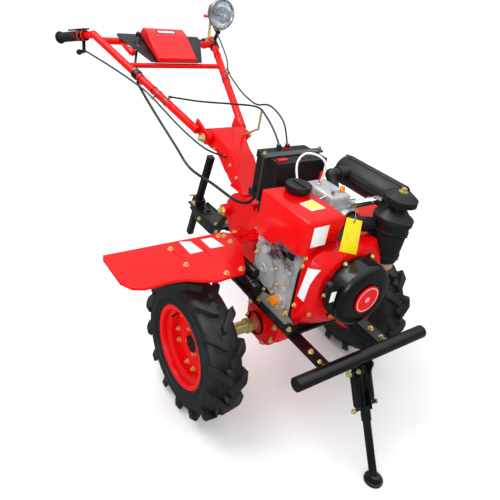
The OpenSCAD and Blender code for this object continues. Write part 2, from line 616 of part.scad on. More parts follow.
// ---- fenders, hitch and stake ---------------------------------------------------
fz = 532;
fen_out = [[-166, -596], [-164, -186], [-150, -172], [-82, -170], [50, -238], [62, -250], [70, -346], [52, -386], [30, -424],
  [22, -466], [26, -548], [12, -580], [-24, -600], [-150, -602]];
fen_in = [[-200, -590], [-200, -140], [-84, -172], [46, -238], [59, -250], [67, -346], [49, -386], [27, -424],
  [19, -466], [23, -547], [10, -578], [-25, -597], [-151, -599]];
module fender() {
  translate([0, 0, fz]) linear_extrude(height = 2) polygon(fen_out);
  translate([0, 0, fz - 7]) difference() {
    linear_extrude(height = 8) polygon(fen_out);
    translate([0, 0, -1]) linear_extrude(height = 10) polygon(fen_in);
  }
  for (y = [-330, -404]) box([-150, y, fz - 10], [14, y + 4, fz + 0.5]);
  difference() {
    union() {
      for (x = [-150, -112]) box([x, -236, fz - 6], [x + 24, -60, fz + 0.5]);
      box([-150, -110, 486], [-88, -60, fz - 2]);
    }
    box([-146, -105.5, 480], [-92, -50, fz - 6]);
    xcyl(-200, -40, 0, crank_z, 168 + 2 * e);
  }
}
module fender_right() color(red) at() fender();
module fender_left() color(red) at() mirror([0, 1, 0]) fender();
sk = 15;                        // lean of the depth stake, top forward
skp = [-655, 0, 362];
module stakeframe() translate(skp) rotate([0, sk, 0]) children();
hpx = -560;
module hitch() color(black) at() {
  difference() {
    union() {
      box([-676, -37, 371], [-424, 37, 376]);
      box([-588, -37, 332], [-472, 37, 337]);
      zcyl(hpx, 0, 336, 379, 44);
      stakeframe() zbar([-22, -22, -28], [22, 22, 42], 5);
    }
    zcyl(hpx, 0, 300, 420, hitch_bore);
    stakeframe() box([-stake_w / 2 - e, -stake_w / 2 - e, -60], [stake_w / 2 + e, stake_w / 2 + e, 80]);
  }
  for (k = [-1, 1]) sideplate(k * 39 - 2.5, k * 39 + 2.5, [[-640, 380], [-436, 380], [-392, 446], [-372, 521],
    [-349.9, 521], [-347.2, 500], [-376, 430], [-410, 352], [-470, 328], [-600, 328]]);
}
module depth_stake() color(black) at() stakeframe() difference() {
  box([-stake_w / 2, -stake_w / 2, -168], [stake_w / 2, stake_w / 2, 262]);
  box([-stake_w / 2 + 4, -stake_w / 2 + 4, -170], [stake_w / 2 - 4, stake_w / 2 - 4, 258]);
}

// ---- cables, whole along their routes --------------------------------------------
function cat(a, b, c, d, t) = 0.5 * (2 * b + (c - a) * t + (2 * a - 5 * b + 4 * c - d) * t * t + (3 * b - a - 3 * c + d) * t * t * t);
function route(p, n) = [for (i = [0 : len(p) - 2]) for (j = [0 : n - 1])
  cat(p[max(i - 1, 0)], p[i], p[i + 1], p[min(i + 2, len(p) - 1)], j / n), p[len(p) - 1]];
function unit(v) = v / norm(v);
module cord(p, d, n) {
  q = route(p, n);
  m = len(q);
  t = [for (i = [0 : m - 1]) unit(q[min(i + 1, m - 1)] - q[max(i - 1, 0)])];
  ring = [for (i = [0 : m - 1]) let (a = unit(cross(t[i], [0, 1, 0.2])), b = cross(a, t[i]))
    for (k = [0 : 7]) q[i] + d / 2 * (cos(45 * k) * a + sin(45 * k) * b)];
  polyhedron(points = ring, faces = concat([[for (k = [0 : 7]) k]], [[for (k = [7 : -1 : 0]) (m - 1) * 8 + k]],
    [for (i = [0 : m - 2]) for (k = [0 : 7]) [i * 8 + k, (i + 1) * 8 + k, (i + 1) * 8 + (k + 1) % 8, i * 8 + (k + 1) % 8]]));
}
module cable_pin() color(zinc) at() {
  difference() {
    rod([-474, 58, 742], [-360, 40, 806], 8);
    sideplate(-90, 90, [[-600, 500], [-600, 811.5 + e], [-500, 764 + e], [-366, 700 + e], [-300, 500]]);
  }
  ball([-360, 40, 806], 10);
  rod([-360, 40, 806], [-352, 36, 880], 8);
}
clutch_pts = [[-1173, -312, 883], [-990, -268, 864], [-825, -222, 836], [-747, -192, 808], [-625, -130, 731],
  [-507, -84, 688], [-404, -51, 690]];
loom_pts = [[-876, -200, 836], [-860, -190, 808], [-774, -165, 738], [-645, -135, 652], [-548, -115, 594],
  [-396, -100, 593], [-256, -92, 594], [-186, -89, 618], [-160, -80, 654]];
throttle_pts = [[-704, -138, 822], [-561, -90, 847], [-457, -20, 868], [-364, 22, 885], [-308, 24, 871],
  [-244, 18, 842], [-196, 9, 813.5]];
lead_pts = [[-1092, 254, 1015], [-1050, 250, 996], [-981, 240, 962], [-898, 222, 918], [-840, 200, 880], [-650, 140, 860],
  [-504, 90, 865], [-397, 48, 882], [-321, 46, 901], [-238, 46, 874], [-196, 44, 812.9]];
hose_pts = [[-12, -42, 761.8], [-30, -41, 790], [-42, -34, 820], [-40, -16, 843], [-20, 4, 850], [4, 22, 842], [16, 31, 820],
  [12, 32, 790], [6, 30, 759.8]];
module fuel_hose() color([0.85, 0.85, 0.82]) at() cord(hose_pts, 7, 5);
module oil_cap() color([0.9, 0.4, 0.04]) at() {
  ycyl(96, 420, -136, -132 - e, 30);
  ycyl(96, 420, -150, -135, 26);
}
module cable_clutch() color(black) at() cord(clutch_pts, 7, 5);
module cable_loom() color(black) at() cord(loom_pts, 11, 5);
module cable_throttle() color(black) at() cord(throttle_pts, 7, 5);
module lamp_lead() color(black) at() cord(lead_pts, 6, 5);

tyre_right();
tyre_left();
rim_right();
rim_left();
half_shaft_right();
half_shaft_left();
gearbox();
gearbox_cover();
frame_rails();
bumper();
stand_bracket();
stand_leg();
stand_spring_right();
stand_spring_left();
crankcase();
cylinder_barrel();
cylinder_head();
rocker_cover();
shroud_plate();
fan_shroud();
recoil_cover();
recoil_disc();
recoil_handle();
tank_bracket();
fuel_tank();
tank_cap();
muffler();
air_cleaner();
air_bowl();
intake_elbow();
starter_motor();
injection_pump();
column();
handlebar();
grip_right();
grip_left();
hand_lever_right();
throttle_lever();
dash_tray();
dash_cover();
headlamp();
headlamp_lens();
lamp_bracket();
shift_lever();
battery();
battery_tray();
battery_hold_down();
fender_right();
fender_left();
hitch();
depth_stake();
cable_pin();
cable_clutch();
cable_loom();
cable_throttle();
lamp_lead();
fuel_hose();
oil_cap();
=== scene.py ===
"""Two-wheel diesel tiller: finishes for every solid, and the small pieces that only the eye needs.

Sizes in the classes below are millimetres from the wheel axle's middle (x forward, y to the left,
z up from the ground); AXLE turns them into the metres of the shared frame.
"""
from __future__ import annotations

import json
import logging
import math
from dataclasses import dataclass
from enum import Enum
from functools import lru_cache
from typing import Sequence

import bmesh
import bpy
from mathutils import Matrix, Vector


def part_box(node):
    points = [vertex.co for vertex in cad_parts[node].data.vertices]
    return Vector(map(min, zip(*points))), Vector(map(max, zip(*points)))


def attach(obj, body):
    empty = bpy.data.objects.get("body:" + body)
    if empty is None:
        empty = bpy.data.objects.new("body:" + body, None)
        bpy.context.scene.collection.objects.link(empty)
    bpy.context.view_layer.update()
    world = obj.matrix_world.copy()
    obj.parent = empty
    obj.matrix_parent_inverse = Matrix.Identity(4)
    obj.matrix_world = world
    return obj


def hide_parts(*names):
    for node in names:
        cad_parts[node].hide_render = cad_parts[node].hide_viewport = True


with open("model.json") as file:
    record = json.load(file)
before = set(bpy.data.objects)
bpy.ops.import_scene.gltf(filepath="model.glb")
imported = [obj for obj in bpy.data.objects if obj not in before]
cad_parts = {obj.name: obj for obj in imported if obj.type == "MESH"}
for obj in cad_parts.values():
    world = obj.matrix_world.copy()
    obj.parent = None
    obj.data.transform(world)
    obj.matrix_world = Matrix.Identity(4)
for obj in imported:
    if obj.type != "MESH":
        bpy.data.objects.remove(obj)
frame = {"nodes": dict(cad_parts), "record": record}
LOG = logging.getLogger("tiller")
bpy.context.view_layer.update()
_LOW, _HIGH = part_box("tyre_right")
AXLE_X = (_LOW.x + _HIGH.x) / 2
AXLE = Matrix.Translation((AXLE_X, 0.0, 0.0)) @ Matrix.Scale(0.001, 4)
NODE_BODY = {n: b for b, ns in frame["record"]["behaviour"]["bodies"].items() for n in ns}
NODE_SLOT = {p["node"]: p["material_slot"] for p in frame["record"]["subparts"]}
SIDES = (-1, 1)
FORE, AFT, LEFT, RIGHT, UP = (1, 0, 0), (-1, 0, 0), (0, 1, 0), (0, -1, 0), (0, 0, 1)
SAME_POINT = 2e-5  # metres under which the points of a solid join
FLAT_ANGLE = math.radians(0.6)
DRESSED_SHARP = 28.0
EASE_STEPS = 2
EASE_PROFILE = 0.6
FIRST_LEAN = (0.13, 0.31, 0.94)  # where a round bar's seam starts
COAT_ROUGHNESS = 0.08
GLASS_IOR = 1.45
PATCH_EDGE = (0.38, 0.72)  # noise between which a patch of tint fades in
SPECK_EDGE = (0.58, 0.78)
SPECK_STRETCH = (60.0, 420.0, 150.0)
SPECK_TURN = (0.3, 0.5, 0.2)
FINE_SCALE = 260.0
WAVE_SCALE = 22.0
WAVE_HEIGHT, GRAIN_HEIGHT = 0.004, 0.001
WASHER_RADIUS, HEAD_RADIUS, STUD_RADIUS, SUNK = 0.86, 0.58, 0.3, -0.02  # shares of a screw's size
Triple = Sequence[float]
Point = tuple[float, float, float]
Pairs = Sequence[tuple[float, float]]


def linear(code: str) -> tuple[float, float, float, float]:
    """Colour of a hex code as the linear values that a shader takes."""
    rgb = [int(code[i:i + 2], 16) / 255 for i in (0, 2, 4)]
    return tuple(c / 12.92 if c <= 0.04045 else ((c + 0.055) / 1.055) ** 2.4 for c in rgb) + (1.0,)


def circle(count: int) -> list[tuple[float, float]]:
    """Cosine and sine of evenly spaced angles."""
    turns = [2 * math.pi * i / count for i in range(count)]
    return [(math.cos(a), math.sin(a)) for a in turns]


# ---------------------------------------------------------------- shared shader effects
class Nodes:
    """A node tree that is filled node by node."""

    def __init__(self, tree: bpy.types.NodeTree) -> None:
        """Works on that tree."""
        self.tree = tree

    def node(self, kind: str, feeds: dict | None = None, **settings: object) -> bpy.types.Node:
        """Adds a node.

        Args:
            kind: Blender's name of the node type.
            feeds: input name or index, and what goes into it: a value, a socket, or a node for its
                first output.
            settings: properties of the node.

        Returns:
            The new node.
        """
        made = self.tree.nodes.new(kind)
        for key, value in settings.items():
            setattr(made, key, value)
        self.feed(made, feeds or {})
        return made

    def feed(self, node: bpy.types.Node, feeds: dict) -> None:
        """Puts values, sockets and first outputs of nodes into the inputs of a node.

        Args:
            node: the node.
            feeds: input name or index, and what goes into it.
        """
        for key, value in feeds.items():
            if isinstance(value, bpy.types.Node):
                value = value.outputs[0]
            if isinstance(value, bpy.types.NodeSocket):
                self.tree.links.new(value, node.inputs[key])
            else:
                node.inputs[key].default_value = value


class Group(Nodes):
    """A node group with named inputs and outputs."""

    def __init__(self, name: str, kind: str, inputs: dict, outputs: dict) -> None:
        """Makes the empty group.

        Args:
            name: name of the group.
            kind: "ShaderNodeTree" or "GeometryNodeTree".
            inputs: socket type by label, or a number that the input starts at.
            outputs: socket type by label.
        """
        super().__init__(bpy.data.node_groups.new(name, kind))
        sockets = self.tree.interface
        for label, what in inputs.items():
            kinds = {float: "Float", int: "Int"}
            socket = "NodeSocket" + kinds.get(type(what), str(what))
            made = sockets.new_socket(label, in_out="INPUT", socket_type=socket)
            if type(what) in kinds:
                made.default_value = what
        for label, what in outputs.items():
            sockets.new_socket(label, in_out="OUTPUT", socket_type="NodeSocket" + what)
        self.entry = self.tree.nodes.new("NodeGroupInput")
        self.exit = self.tree.nodes.new("NodeGroupOutput")

    def __getitem__(self, label: str) -> bpy.types.NodeSocket:
        """The input of that name, as seen from inside."""
        return self.entry.outputs[label]

    def give(self, **feeds: object) -> bpy.types.NodeTree:
        """Feeds the outputs of the same name and returns the tree."""
        self.feed(self.exit, feeds)
        return self.tree


@lru_cache(maxsize=None)
def mottle_group() -> bpy.types.NodeTree:
    """Two colours in soft patches, and a roughness that follows them.

    Returns:
        Shader group with inputs Color, Tint, Amount, Scale, Smooth, Rough and outputs Color,
        Roughness.
    """
    g = Group("mottled_finish", "ShaderNodeTree",
              {"Color": "Color", "Tint": "Color", "Amount": 0.3, "Scale": 12.0, "Smooth": 0.3,
               "Rough": 0.4}, {"Color": "Color", "Roughness": "Float"})
    at = g.node("ShaderNodeTexCoord").outputs["Object"]
    broad = g.node("ShaderNodeTexNoise", {"Vector": at, "Scale": g["Scale"], "Detail": 5.0})
    fine = g.node("ShaderNodeTexNoise", {"Vector": at, "Scale": FINE_SCALE, "Detail": 3.0})
    patch = g.node("ShaderNodeMapRange", {"Value": broad, "From Min": PATCH_EDGE[0],
                                          "From Max": PATCH_EDGE[1]})
    share = g.node("ShaderNodeMath", {0: patch, 1: g["Amount"]}, operation="MULTIPLY")
    mix = g.node("ShaderNodeMix", {"Factor": share, 6: g["Color"], 7: g["Tint"]}, data_type="RGBA")
    both = g.node("ShaderNodeMath", {0: patch, 1: fine}, operation="MULTIPLY")
    rough = g.node("ShaderNodeMapRange", {"Value": both, "From Max": 0.6,
                                          "To Min": g["Smooth"], "To Max": g["Rough"]})
    return g.give(Color=mix.outputs[2], Roughness=rough)


@lru_cache(maxsize=None)
def skin_group() -> bpy.types.NodeTree:
    """Bumps of a surface: grain with a slow wave under it.

    Returns:
        Shader group with inputs Scale, Depth, Wave and output Normal.
    """
    g = Group("surface_skin", "ShaderNodeTree", {"Scale": 400.0, "Depth": 0.1, "Wave": 0.1},
              {"Normal": "Vector"})
    at = g.node("ShaderNodeTexCoord").outputs["Object"]
    grain = g.node("ShaderNodeTexNoise", {"Vector": at, "Scale": g["Scale"], "Detail": 4.0})
    wave = g.node("ShaderNodeTexNoise", {"Vector": at, "Scale": WAVE_SCALE, "Detail": 2.0})
    slow = g.node("ShaderNodeBump", {"Height": wave, "Strength": g["Wave"],
                                     "Distance": WAVE_HEIGHT})
    fast = g.node("ShaderNodeBump", {"Height": grain, "Strength": g["Depth"],
                                     "Distance": GRAIN_HEIGHT, "Normal": slow})
    return g.give(Normal=fast)


@lru_cache(maxsize=None)
def dust_group() -> bpy.types.NodeTree:
    """Thin dust and scuffs that gather in specks.

    Returns:
        Shader group with inputs Color, Dust, Amount and output Color.
    """
    g = Group("dust_and_scuffs", "ShaderNodeTree",
              {"Color": "Color", "Dust": "Color", "Amount": 0.2}, {"Color": "Color"})
    at = g.node("ShaderNodeTexCoord").outputs["Object"]
    long = g.node("ShaderNodeMapping", {"Vector": at, "Scale": SPECK_STRETCH,
                                        "Rotation": SPECK_TURN})
    specks = g.node("ShaderNodeTexNoise", {"Vector": long, "Scale": 1.0, "Detail": 6.0,
                                           "Roughness": 0.7})
    mask = g.node("ShaderNodeMapRange", {"Value": specks, "From Min": SPECK_EDGE[0],
                                         "From Max": SPECK_EDGE[1]})
    share = g.node("ShaderNodeMath", {0: mask, 1: g["Amount"]}, operation="MULTIPLY")
    mix = g.node("ShaderNodeMix", {"Factor": share, 6: g["Color"], 7: g["Dust"]}, data_type="RGBA")
    return g.give(Color=mix.outputs[2])


@dataclass(frozen=True)
class Finish:
    """One finish of the machine, built as a procedural material."""

    name: str
    color: str
    tint: str
    amount: float
    scale: float
    smooth: float
    rough: float
    grain: float = 420.0
    depth: float = 0.08
    wave: float = 0.0
    metallic: float = 0.0
    coat: float = 0.0
    specular: float = 0.5
    glass: float = 0.0
    dusty: float = 0.0
    dust: str = "8A8378"
    slot: str = ""

    def material(self) -> bpy.types.Material:
        """The material of this finish, made on the first call."""
        return _material(self)


@lru_cache(maxsize=None)
def _material(f: Finish) -> bpy.types.Material:
    """Builds the material of a finish.

    Args:
        f: the finish.

    Returns:
        The material.
    """
    mat = bpy.data.materials.new(f.name)
    mat.use_nodes = True
    nodes = Nodes(mat.node_tree)

    def effect(group: bpy.types.NodeTree, **values: object) -> bpy.types.Node:
        """A shared effect placed in this material with its own values."""
        return nodes.node("ShaderNodeGroup", values, node_tree=group)

    base = effect(mottle_group(), Color=linear(f.color), Tint=linear(f.tint), Amount=f.amount,
                  Scale=f.scale, Smooth=f.smooth, Rough=f.rough)
    skin = effect(skin_group(), Scale=f.grain, Depth=f.depth, Wave=f.wave)
    color = base.outputs["Color"]
    if f.dusty:
        color = effect(dust_group(), Color=color, Dust=linear(f.dust),
                       Amount=f.dusty).outputs["Color"]
    shader = mat.node_tree.nodes["Principled BSDF"]
    nodes.feed(shader, {
        "Metallic": f.metallic, "Coat Weight": f.coat, "Coat Roughness": COAT_ROUGHNESS,
        "Specular IOR Level": f.specular, "Transmission Weight": f.glass, "Base Color": color,
        "Roughness": base.outputs["Roughness"], "Normal": skin.outputs["Normal"]})
    if f.glass:
        shader.inputs["IOR"].default_value = GLASS_IOR
    return mat


class Look(Enum):
    """The finishes that the machine wears.

    After the name: colour, tint, share of tint, scale of its patches, lowest and highest
    roughness, scale and depth of the grain.
    """

    RED_PAINT = Finish("red_paint", "DC0408", "CA0307", 0.5, 6.0, 0.2, 0.34, 180.0, 0.03, 0.05,
                       coat=0.16, specular=0.2, dusty=0.03, dust="E8A0A0")
    RED_PLASTIC = Finish("red_plastic", "DA070C", "C8060A", 0.4, 9.0, 0.22, 0.36, 700.0, 0.04,
                         coat=0.2, specular=0.3)
    BLACK_PAINT = Finish("black_paint", "0B0C0D", "131416", 0.6, 10.0, 0.2, 0.38, 260.0, 0.05,
                         0.04, coat=0.2, specular=0.35, dusty=0.03)
    BLACK_PLASTIC = Finish("black_plastic", "0E0F10", "17181A", 0.6, 16.0, 0.36, 0.55, 900.0,
                           0.12, specular=0.4)
    MUFFLER = Finish("muffler_black", "191A1C", "242527", 0.7, 18.0, 0.42, 0.62, 520.0, 0.2, 0.05)
    RUBBER = Finish("tyre_rubber", "131516", "212325", 0.7, 22.0, 0.42, 0.68, 600.0, 0.25,
                    dusty=0.12, dust="5F5C56")
    GRIP = Finish("grip_rubber", "151617", "202122", 0.5, 30.0, 0.5, 0.7, 1200.0, 0.2)
    CABLE = Finish("cable_black", "101112", "1B1C1E", 0.5, 24.0, 0.34, 0.5, 900.0, 0.1)
    CAST = Finish("cast_alloy", "C8CBCD", "9FA3A6", 0.7, 30.0, 0.34, 0.58, 520.0, 0.45, 0.1,
                  metallic=0.35, dusty=0.15, dust="6B6C6C")
    STEEL = Finish("steel", "C9CBCD", "A4A7AA", 0.5, 40.0, 0.22, 0.4, 500.0, 0.08, metallic=1.0,
                   slot="cast_alloy")
    ZINC = Finish("zinc_plate", "E6DA96", "CDBC6E", 0.7, 60.0, 0.22, 0.4, 600.0, 0.08, metallic=0.7)
    BRASS = Finish("brass", "D8A93C", "B98728", 0.5, 60.0, 0.22, 0.4, 500.0, 0.06, metallic=1.0,
                   slot="zinc_plate")
    CHROME = Finish("chrome", "E3E4E6", "CFD1D4", 0.4, 30.0, 0.05, 0.12, 300.0, 0.01, metallic=1.0)
    GLASS = Finish("lens_glass", "F2F5F7", "E4E9EC", 0.3, 60.0, 0.03, 0.1, 160.0, 0.35, glass=1.0)
    TAN = Finish("tan_plastic", "C9AD83", "A98B61", 0.6, 30.0, 0.12, 0.26, 300.0, 0.05, coat=0.4,
                 glass=0.35)
    WHITE = Finish("white_hose", "E9EAE6", "D6D8D4", 0.4, 60.0, 0.3, 0.45, 600.0, 0.06)
    LABEL = Finish("plain_label", "E4E8EA", "D2D8DB", 0.5, 60.0, 0.28, 0.42, 500.0, 0.03,
                   coat=0.2, slot="white_hose")
    LABEL_YELLOW = Finish("yellow_label", "F1E46B", "E2D24F", 0.4, 60.0, 0.28, 0.4, 500.0, 0.03,
                          coat=0.2, slot="white_hose")
    TAG = Finish("yellow_tag", "F6DE0E", "E6C90A", 0.5, 40.0, 0.26, 0.4, 420.0, 0.05, 0.1,
                 coat=0.15, slot="white_hose")
    ORANGE = Finish("orange_plastic", "F08A14", "D97408", 0.4, 60.0, 0.24, 0.36, 400.0, 0.05,
                    coat=0.2)
    # Near-black matte finish: real gasket joints, and painted shade laid as thin sheets in the hub
    # bore, stake holes, louvre slots and the lid's slot.
    DARK = Finish("joint_and_painted_shade", "08090A", "101112", 0.5, 60.0, 0.6, 0.8, 400.0, 0.1,
                  slot="black_plastic")
    PINK = Finish("pale_print", "F0A0A4", "E88E93", 0.4, 60.0, 0.28, 0.4, 500.0, 0.03, coat=0.2,
                  slot="red_plastic")
    MIRROR = Finish("reflector", "F4F6F8", "E8ECEF", 0.3, 40.0, 0.16, 0.26, 300.0, 0.01,
                    metallic=0.8, slot="chrome")
    GALVANISED = Finish("galvanised", "6B6D70", "55575A", 0.7, 40.0, 0.34, 0.5, 500.0, 0.1,
                        metallic=0.8, slot="zinc_plate")

    @property
    def slot(self) -> str:
        """The record's slot that this look stands for."""
        return self.value.slot or self.value.name


SLOT_LOOK = {look.slot: look for look in Look if not look.value.slot}


# ---------------------------------------------------------------- geometry node trees
class Grower(Group):
    """A geometry node tree that ends in one finished mesh."""

    def __init__(self, name: str, **inputs: object) -> None:
        """Makes the tree with Geometry first, its own inputs, and Finish last."""
        super().__init__(name, "GeometryNodeTree",
                         {"Geometry": "Geometry", **inputs, "Finish": "Material"},
                         {"Geometry": "Geometry"})

    def spread(self, points: object, item: object, **feeds: object) -> bpy.types.NodeTree:
        """Sets an item on points and ends the tree."""
        return self.end(self.node("GeometryNodeInstanceOnPoints",
                                  {"Points": points, "Instance": item, **feeds}))

    def end(self, node: bpy.types.Node) -> bpy.types.NodeTree:
        """Makes instances real, gives them their finish and ends the tree.

        Args:
            node: what comes before.

        Returns:
            The tree.
        """
        real = self.node("GeometryNodeRealizeInstances", {"Geometry": node})
        done = self.node("GeometryNodeSetMaterial", {"Geometry": real, "Material": self["Finish"]})
        return self.give(Geometry=done)


@lru_cache(maxsize=None)
def around_tree() -> bpy.types.NodeTree:
    """One element set round the z axis, a step of angle apart.

    Returns:
        Tree with inputs Geometry, Count, Start, Step, Finish.
    """
    g = Grower("set_around_axis", Count=8, Start=0.0, Step=0.1)
    points = g.node("GeometryNodePoints", {"Count": g["Count"]})
    index = g.node("GeometryNodeInputIndex")
    turn = g.node("ShaderNodeMath", {0: index, 1: g["Step"], 2: g["Start"]},
                  operation="MULTIPLY_ADD")
    euler = g.node("ShaderNodeCombineXYZ", {"Z": turn})
    return g.spread(points, g["Geometry"], Rotation=euler)


@lru_cache(maxsize=None)
def along_tree() -> bpy.types.NodeTree:
    """One element set in a straight row.

    Returns:
        Tree with inputs Geometry, Count, Step, Finish.
    """
    g = Grower("set_in_row", Count=5, Step="Vector")
    index = g.node("GeometryNodeInputIndex")
    shift = g.node("ShaderNodeVectorMath", {0: g["Step"], "Scale": index}, operation="SCALE")
    points = g.node("GeometryNodePoints", {"Count": g["Count"], "Position": shift})
    return g.spread(points, g["Geometry"])


@lru_cache(maxsize=None)
def bolt_tree() -> bpy.types.NodeTree:
    """Hexagon screws on points that carry their size and direction.

    Returns:
        Tree with inputs Geometry, Height, Washer, Stud, Finish; the points have attributes axis
        and size.
    """
    g = Grower("hexagon_screws", Height=0.62, Washer=0.14, Stud=0.16)
    axis = g.node("GeometryNodeInputNamedAttribute", {"Name": "axis"}, data_type="FLOAT_VECTOR")
    size = g.node("GeometryNodeInputNamedAttribute", {"Name": "size"}, data_type="FLOAT")
    turn = g.node("FunctionNodeAlignRotationToVector", {"Vector": axis}, axis="Z")

    def disc(sides: int, radius: float, height: object, base: object) -> bpy.types.Node:
        """A short prism that stands on the plane.

        Args:
            sides: how many sides it has.
            radius: its radius.
            height: its height, a number or a socket.
            base: how high it starts, a number or a socket.

        Returns:
            The node that gives it.
        """
        drum = g.node("GeometryNodeMeshCylinder", {"Vertices": sides, "Radius": radius,
                                                   "Depth": height})
        half = g.node("ShaderNodeMath", {0: height, 1: 0.5, 2: base}, operation="MULTIPLY_ADD")
        up = g.node("ShaderNodeCombineXYZ", {"Z": half})
        return g.node("GeometryNodeTransform", {"Geometry": drum, "Translation": up})

    crown = g.node("ShaderNodeMath", {0: g["Height"], 1: g["Washer"]}, operation="ADD")
    whole = g.node("GeometryNodeJoinGeometry")
    for part in (disc(18, WASHER_RADIUS, g["Washer"], SUNK),
                 disc(6, HEAD_RADIUS, g["Height"], g["Washer"]),
                 disc(10, STUD_RADIUS, g["Stud"], crown)):
        g.feed(whole, {0: part})
    return g.spread(g["Geometry"], whole, Rotation=turn, Scale=size)


@lru_cache(maxsize=None)
def coil_tree() -> bpy.types.NodeTree:
    """A wound wire along z.

    Returns:
        Tree with inputs Geometry, Turns, Radius, Length, Wire, Finish.
    """
    g = Grower("wound_wire", Turns=8.0, Radius=0.01, Length=0.1, Wire=0.001)
    line = g.node("GeometryNodeCurveSpiral", {
        "Resolution": 20, "Rotations": g["Turns"], "Start Radius": g["Radius"],
        "End Radius": g["Radius"], "Height": g["Length"]})
    ring = g.node("GeometryNodeCurvePrimitiveCircle", {"Resolution": 8, "Radius": g["Wire"]})
    return g.end(g.node("GeometryNodeCurveToMesh", {
        "Curve": line, "Profile Curve": ring, "Fill Caps": True}))


def stand(name: str, data: bpy.types.ID) -> bpy.types.Object:
    """Makes an object in the scene.

    Args:
        name: its name.
        data: its mesh, light or camera.

    Returns:
        The object.
    """
    made = bpy.data.objects.new(name, data)
    bpy.context.scene.collection.objects.link(made)
    return made


def evaluated(holder: bpy.types.Object) -> bpy.types.Mesh:
    """Takes what an object's modifiers make of it.

    Args:
        holder: the object; it and its mesh are used up.

    Returns:
        A plain mesh.
    """
    graph = bpy.context.evaluated_depsgraph_get()
    made = bpy.data.meshes.new_from_object(holder.evaluated_get(graph), depsgraph=graph)
    source = holder.data
    holder.modifiers.clear()
    bpy.data.objects.remove(holder)
    bpy.data.meshes.remove(source)
    return made


def grow(tree: bpy.types.NodeTree, mesh: bpy.types.Mesh, look: Look, place: Matrix | None = None,
         **values: object) -> bpy.types.Mesh:
    """Runs a geometry node tree on a mesh.

    Args:
        tree: the tree.
        mesh: what goes into its Geometry input; it is used up.
        look: the finish of what it makes.
        place: a frame to put the result in.
        values: the tree's other inputs, by name.

    Returns:
        A plain mesh, in the units of the input.
    """
    values["Finish"] = look.value.material()
    holder = stand("holder", mesh)
    modifier = holder.modifiers.new("nodes", "NODES")
    modifier.node_group = tree
    for item in tree.interface.items_tree:
        if item.in_out == "INPUT" and item.name in values:
            modifier[item.identifier] = values[item.name]
    made = evaluated(holder)
    if place is not None:
        made.transform(place)
    return made


def around(shape: Shape, count: int, start: float, look: Look, place: Matrix,
           step: float = 0.0) -> bpy.types.Mesh:
    """Sets copies of a shape round the z axis of a frame.

    Args:
        shape: the element.
        count: how many.
        start: angle of the first, in radians.
        look: their finish.
        place: the frame.
        step: angle between them, 0 for an even circle.

    Returns:
        All of them as one mesh.
    """
    return grow(around_tree(), shape.mesh(), look, place, Count=count, Start=start,
                Step=step or 2 * math.pi / count)


def row(shape: Shape, count: int, step: Triple, look: Look,
        place: Matrix | None = None) -> bpy.types.Mesh:
    """Sets copies of a shape in a straight row.

    Args:
        shape: the element.
        count: how many.
        step: the way from each to the next.
        look: their finish.
        place: a frame to put the row in.

    Returns:
        All of them as one mesh.
    """
    return grow(along_tree(), shape.mesh(), look, place, Count=count, Step=tuple(step))


def coil(turns: float, radius: float, length: float, wire: float, look: Look,
         place: Matrix) -> bpy.types.Mesh:
    """Winds a spring along the z axis of a frame.

    Args:
        turns: how many turns it has.
        radius: radius of its turns.
        length: how long it is.
        wire: radius of its wire.
        look: its finish.
        place: the frame.

    Returns:
        Its mesh.
    """
    return grow(coil_tree(), bpy.data.meshes.new("coil"), look, place, Turns=turns,
                Radius=radius, Length=length, Wire=wire)


# ---------------------------------------------------------------- mesh building in millimetres
def basis(origin: Triple, axis: Triple, up: Triple = UP) -> Matrix:
    """A frame whose z runs along axis.

    Args:
        origin: where the frame stands.
        axis: direction of its z.
        up: the direction that its x leans to.

    Returns:
        The frame as a matrix.
    """
    parallel, along_x = 0.98, 0.9
    z = Vector(axis).normalized()
    lean = Vector(up)
    if abs(z.dot(lean.normalized())) > parallel:
        lean = Vector(FORE) if abs(z.x) < along_x else Vector(LEFT)
    x = (lean - z * z.dot(lean)).normalized()
    turn = Matrix((x, z.cross(x), z)).transposed().to_4x4()
    return Matrix.Translation(Vector(origin)) @ turn


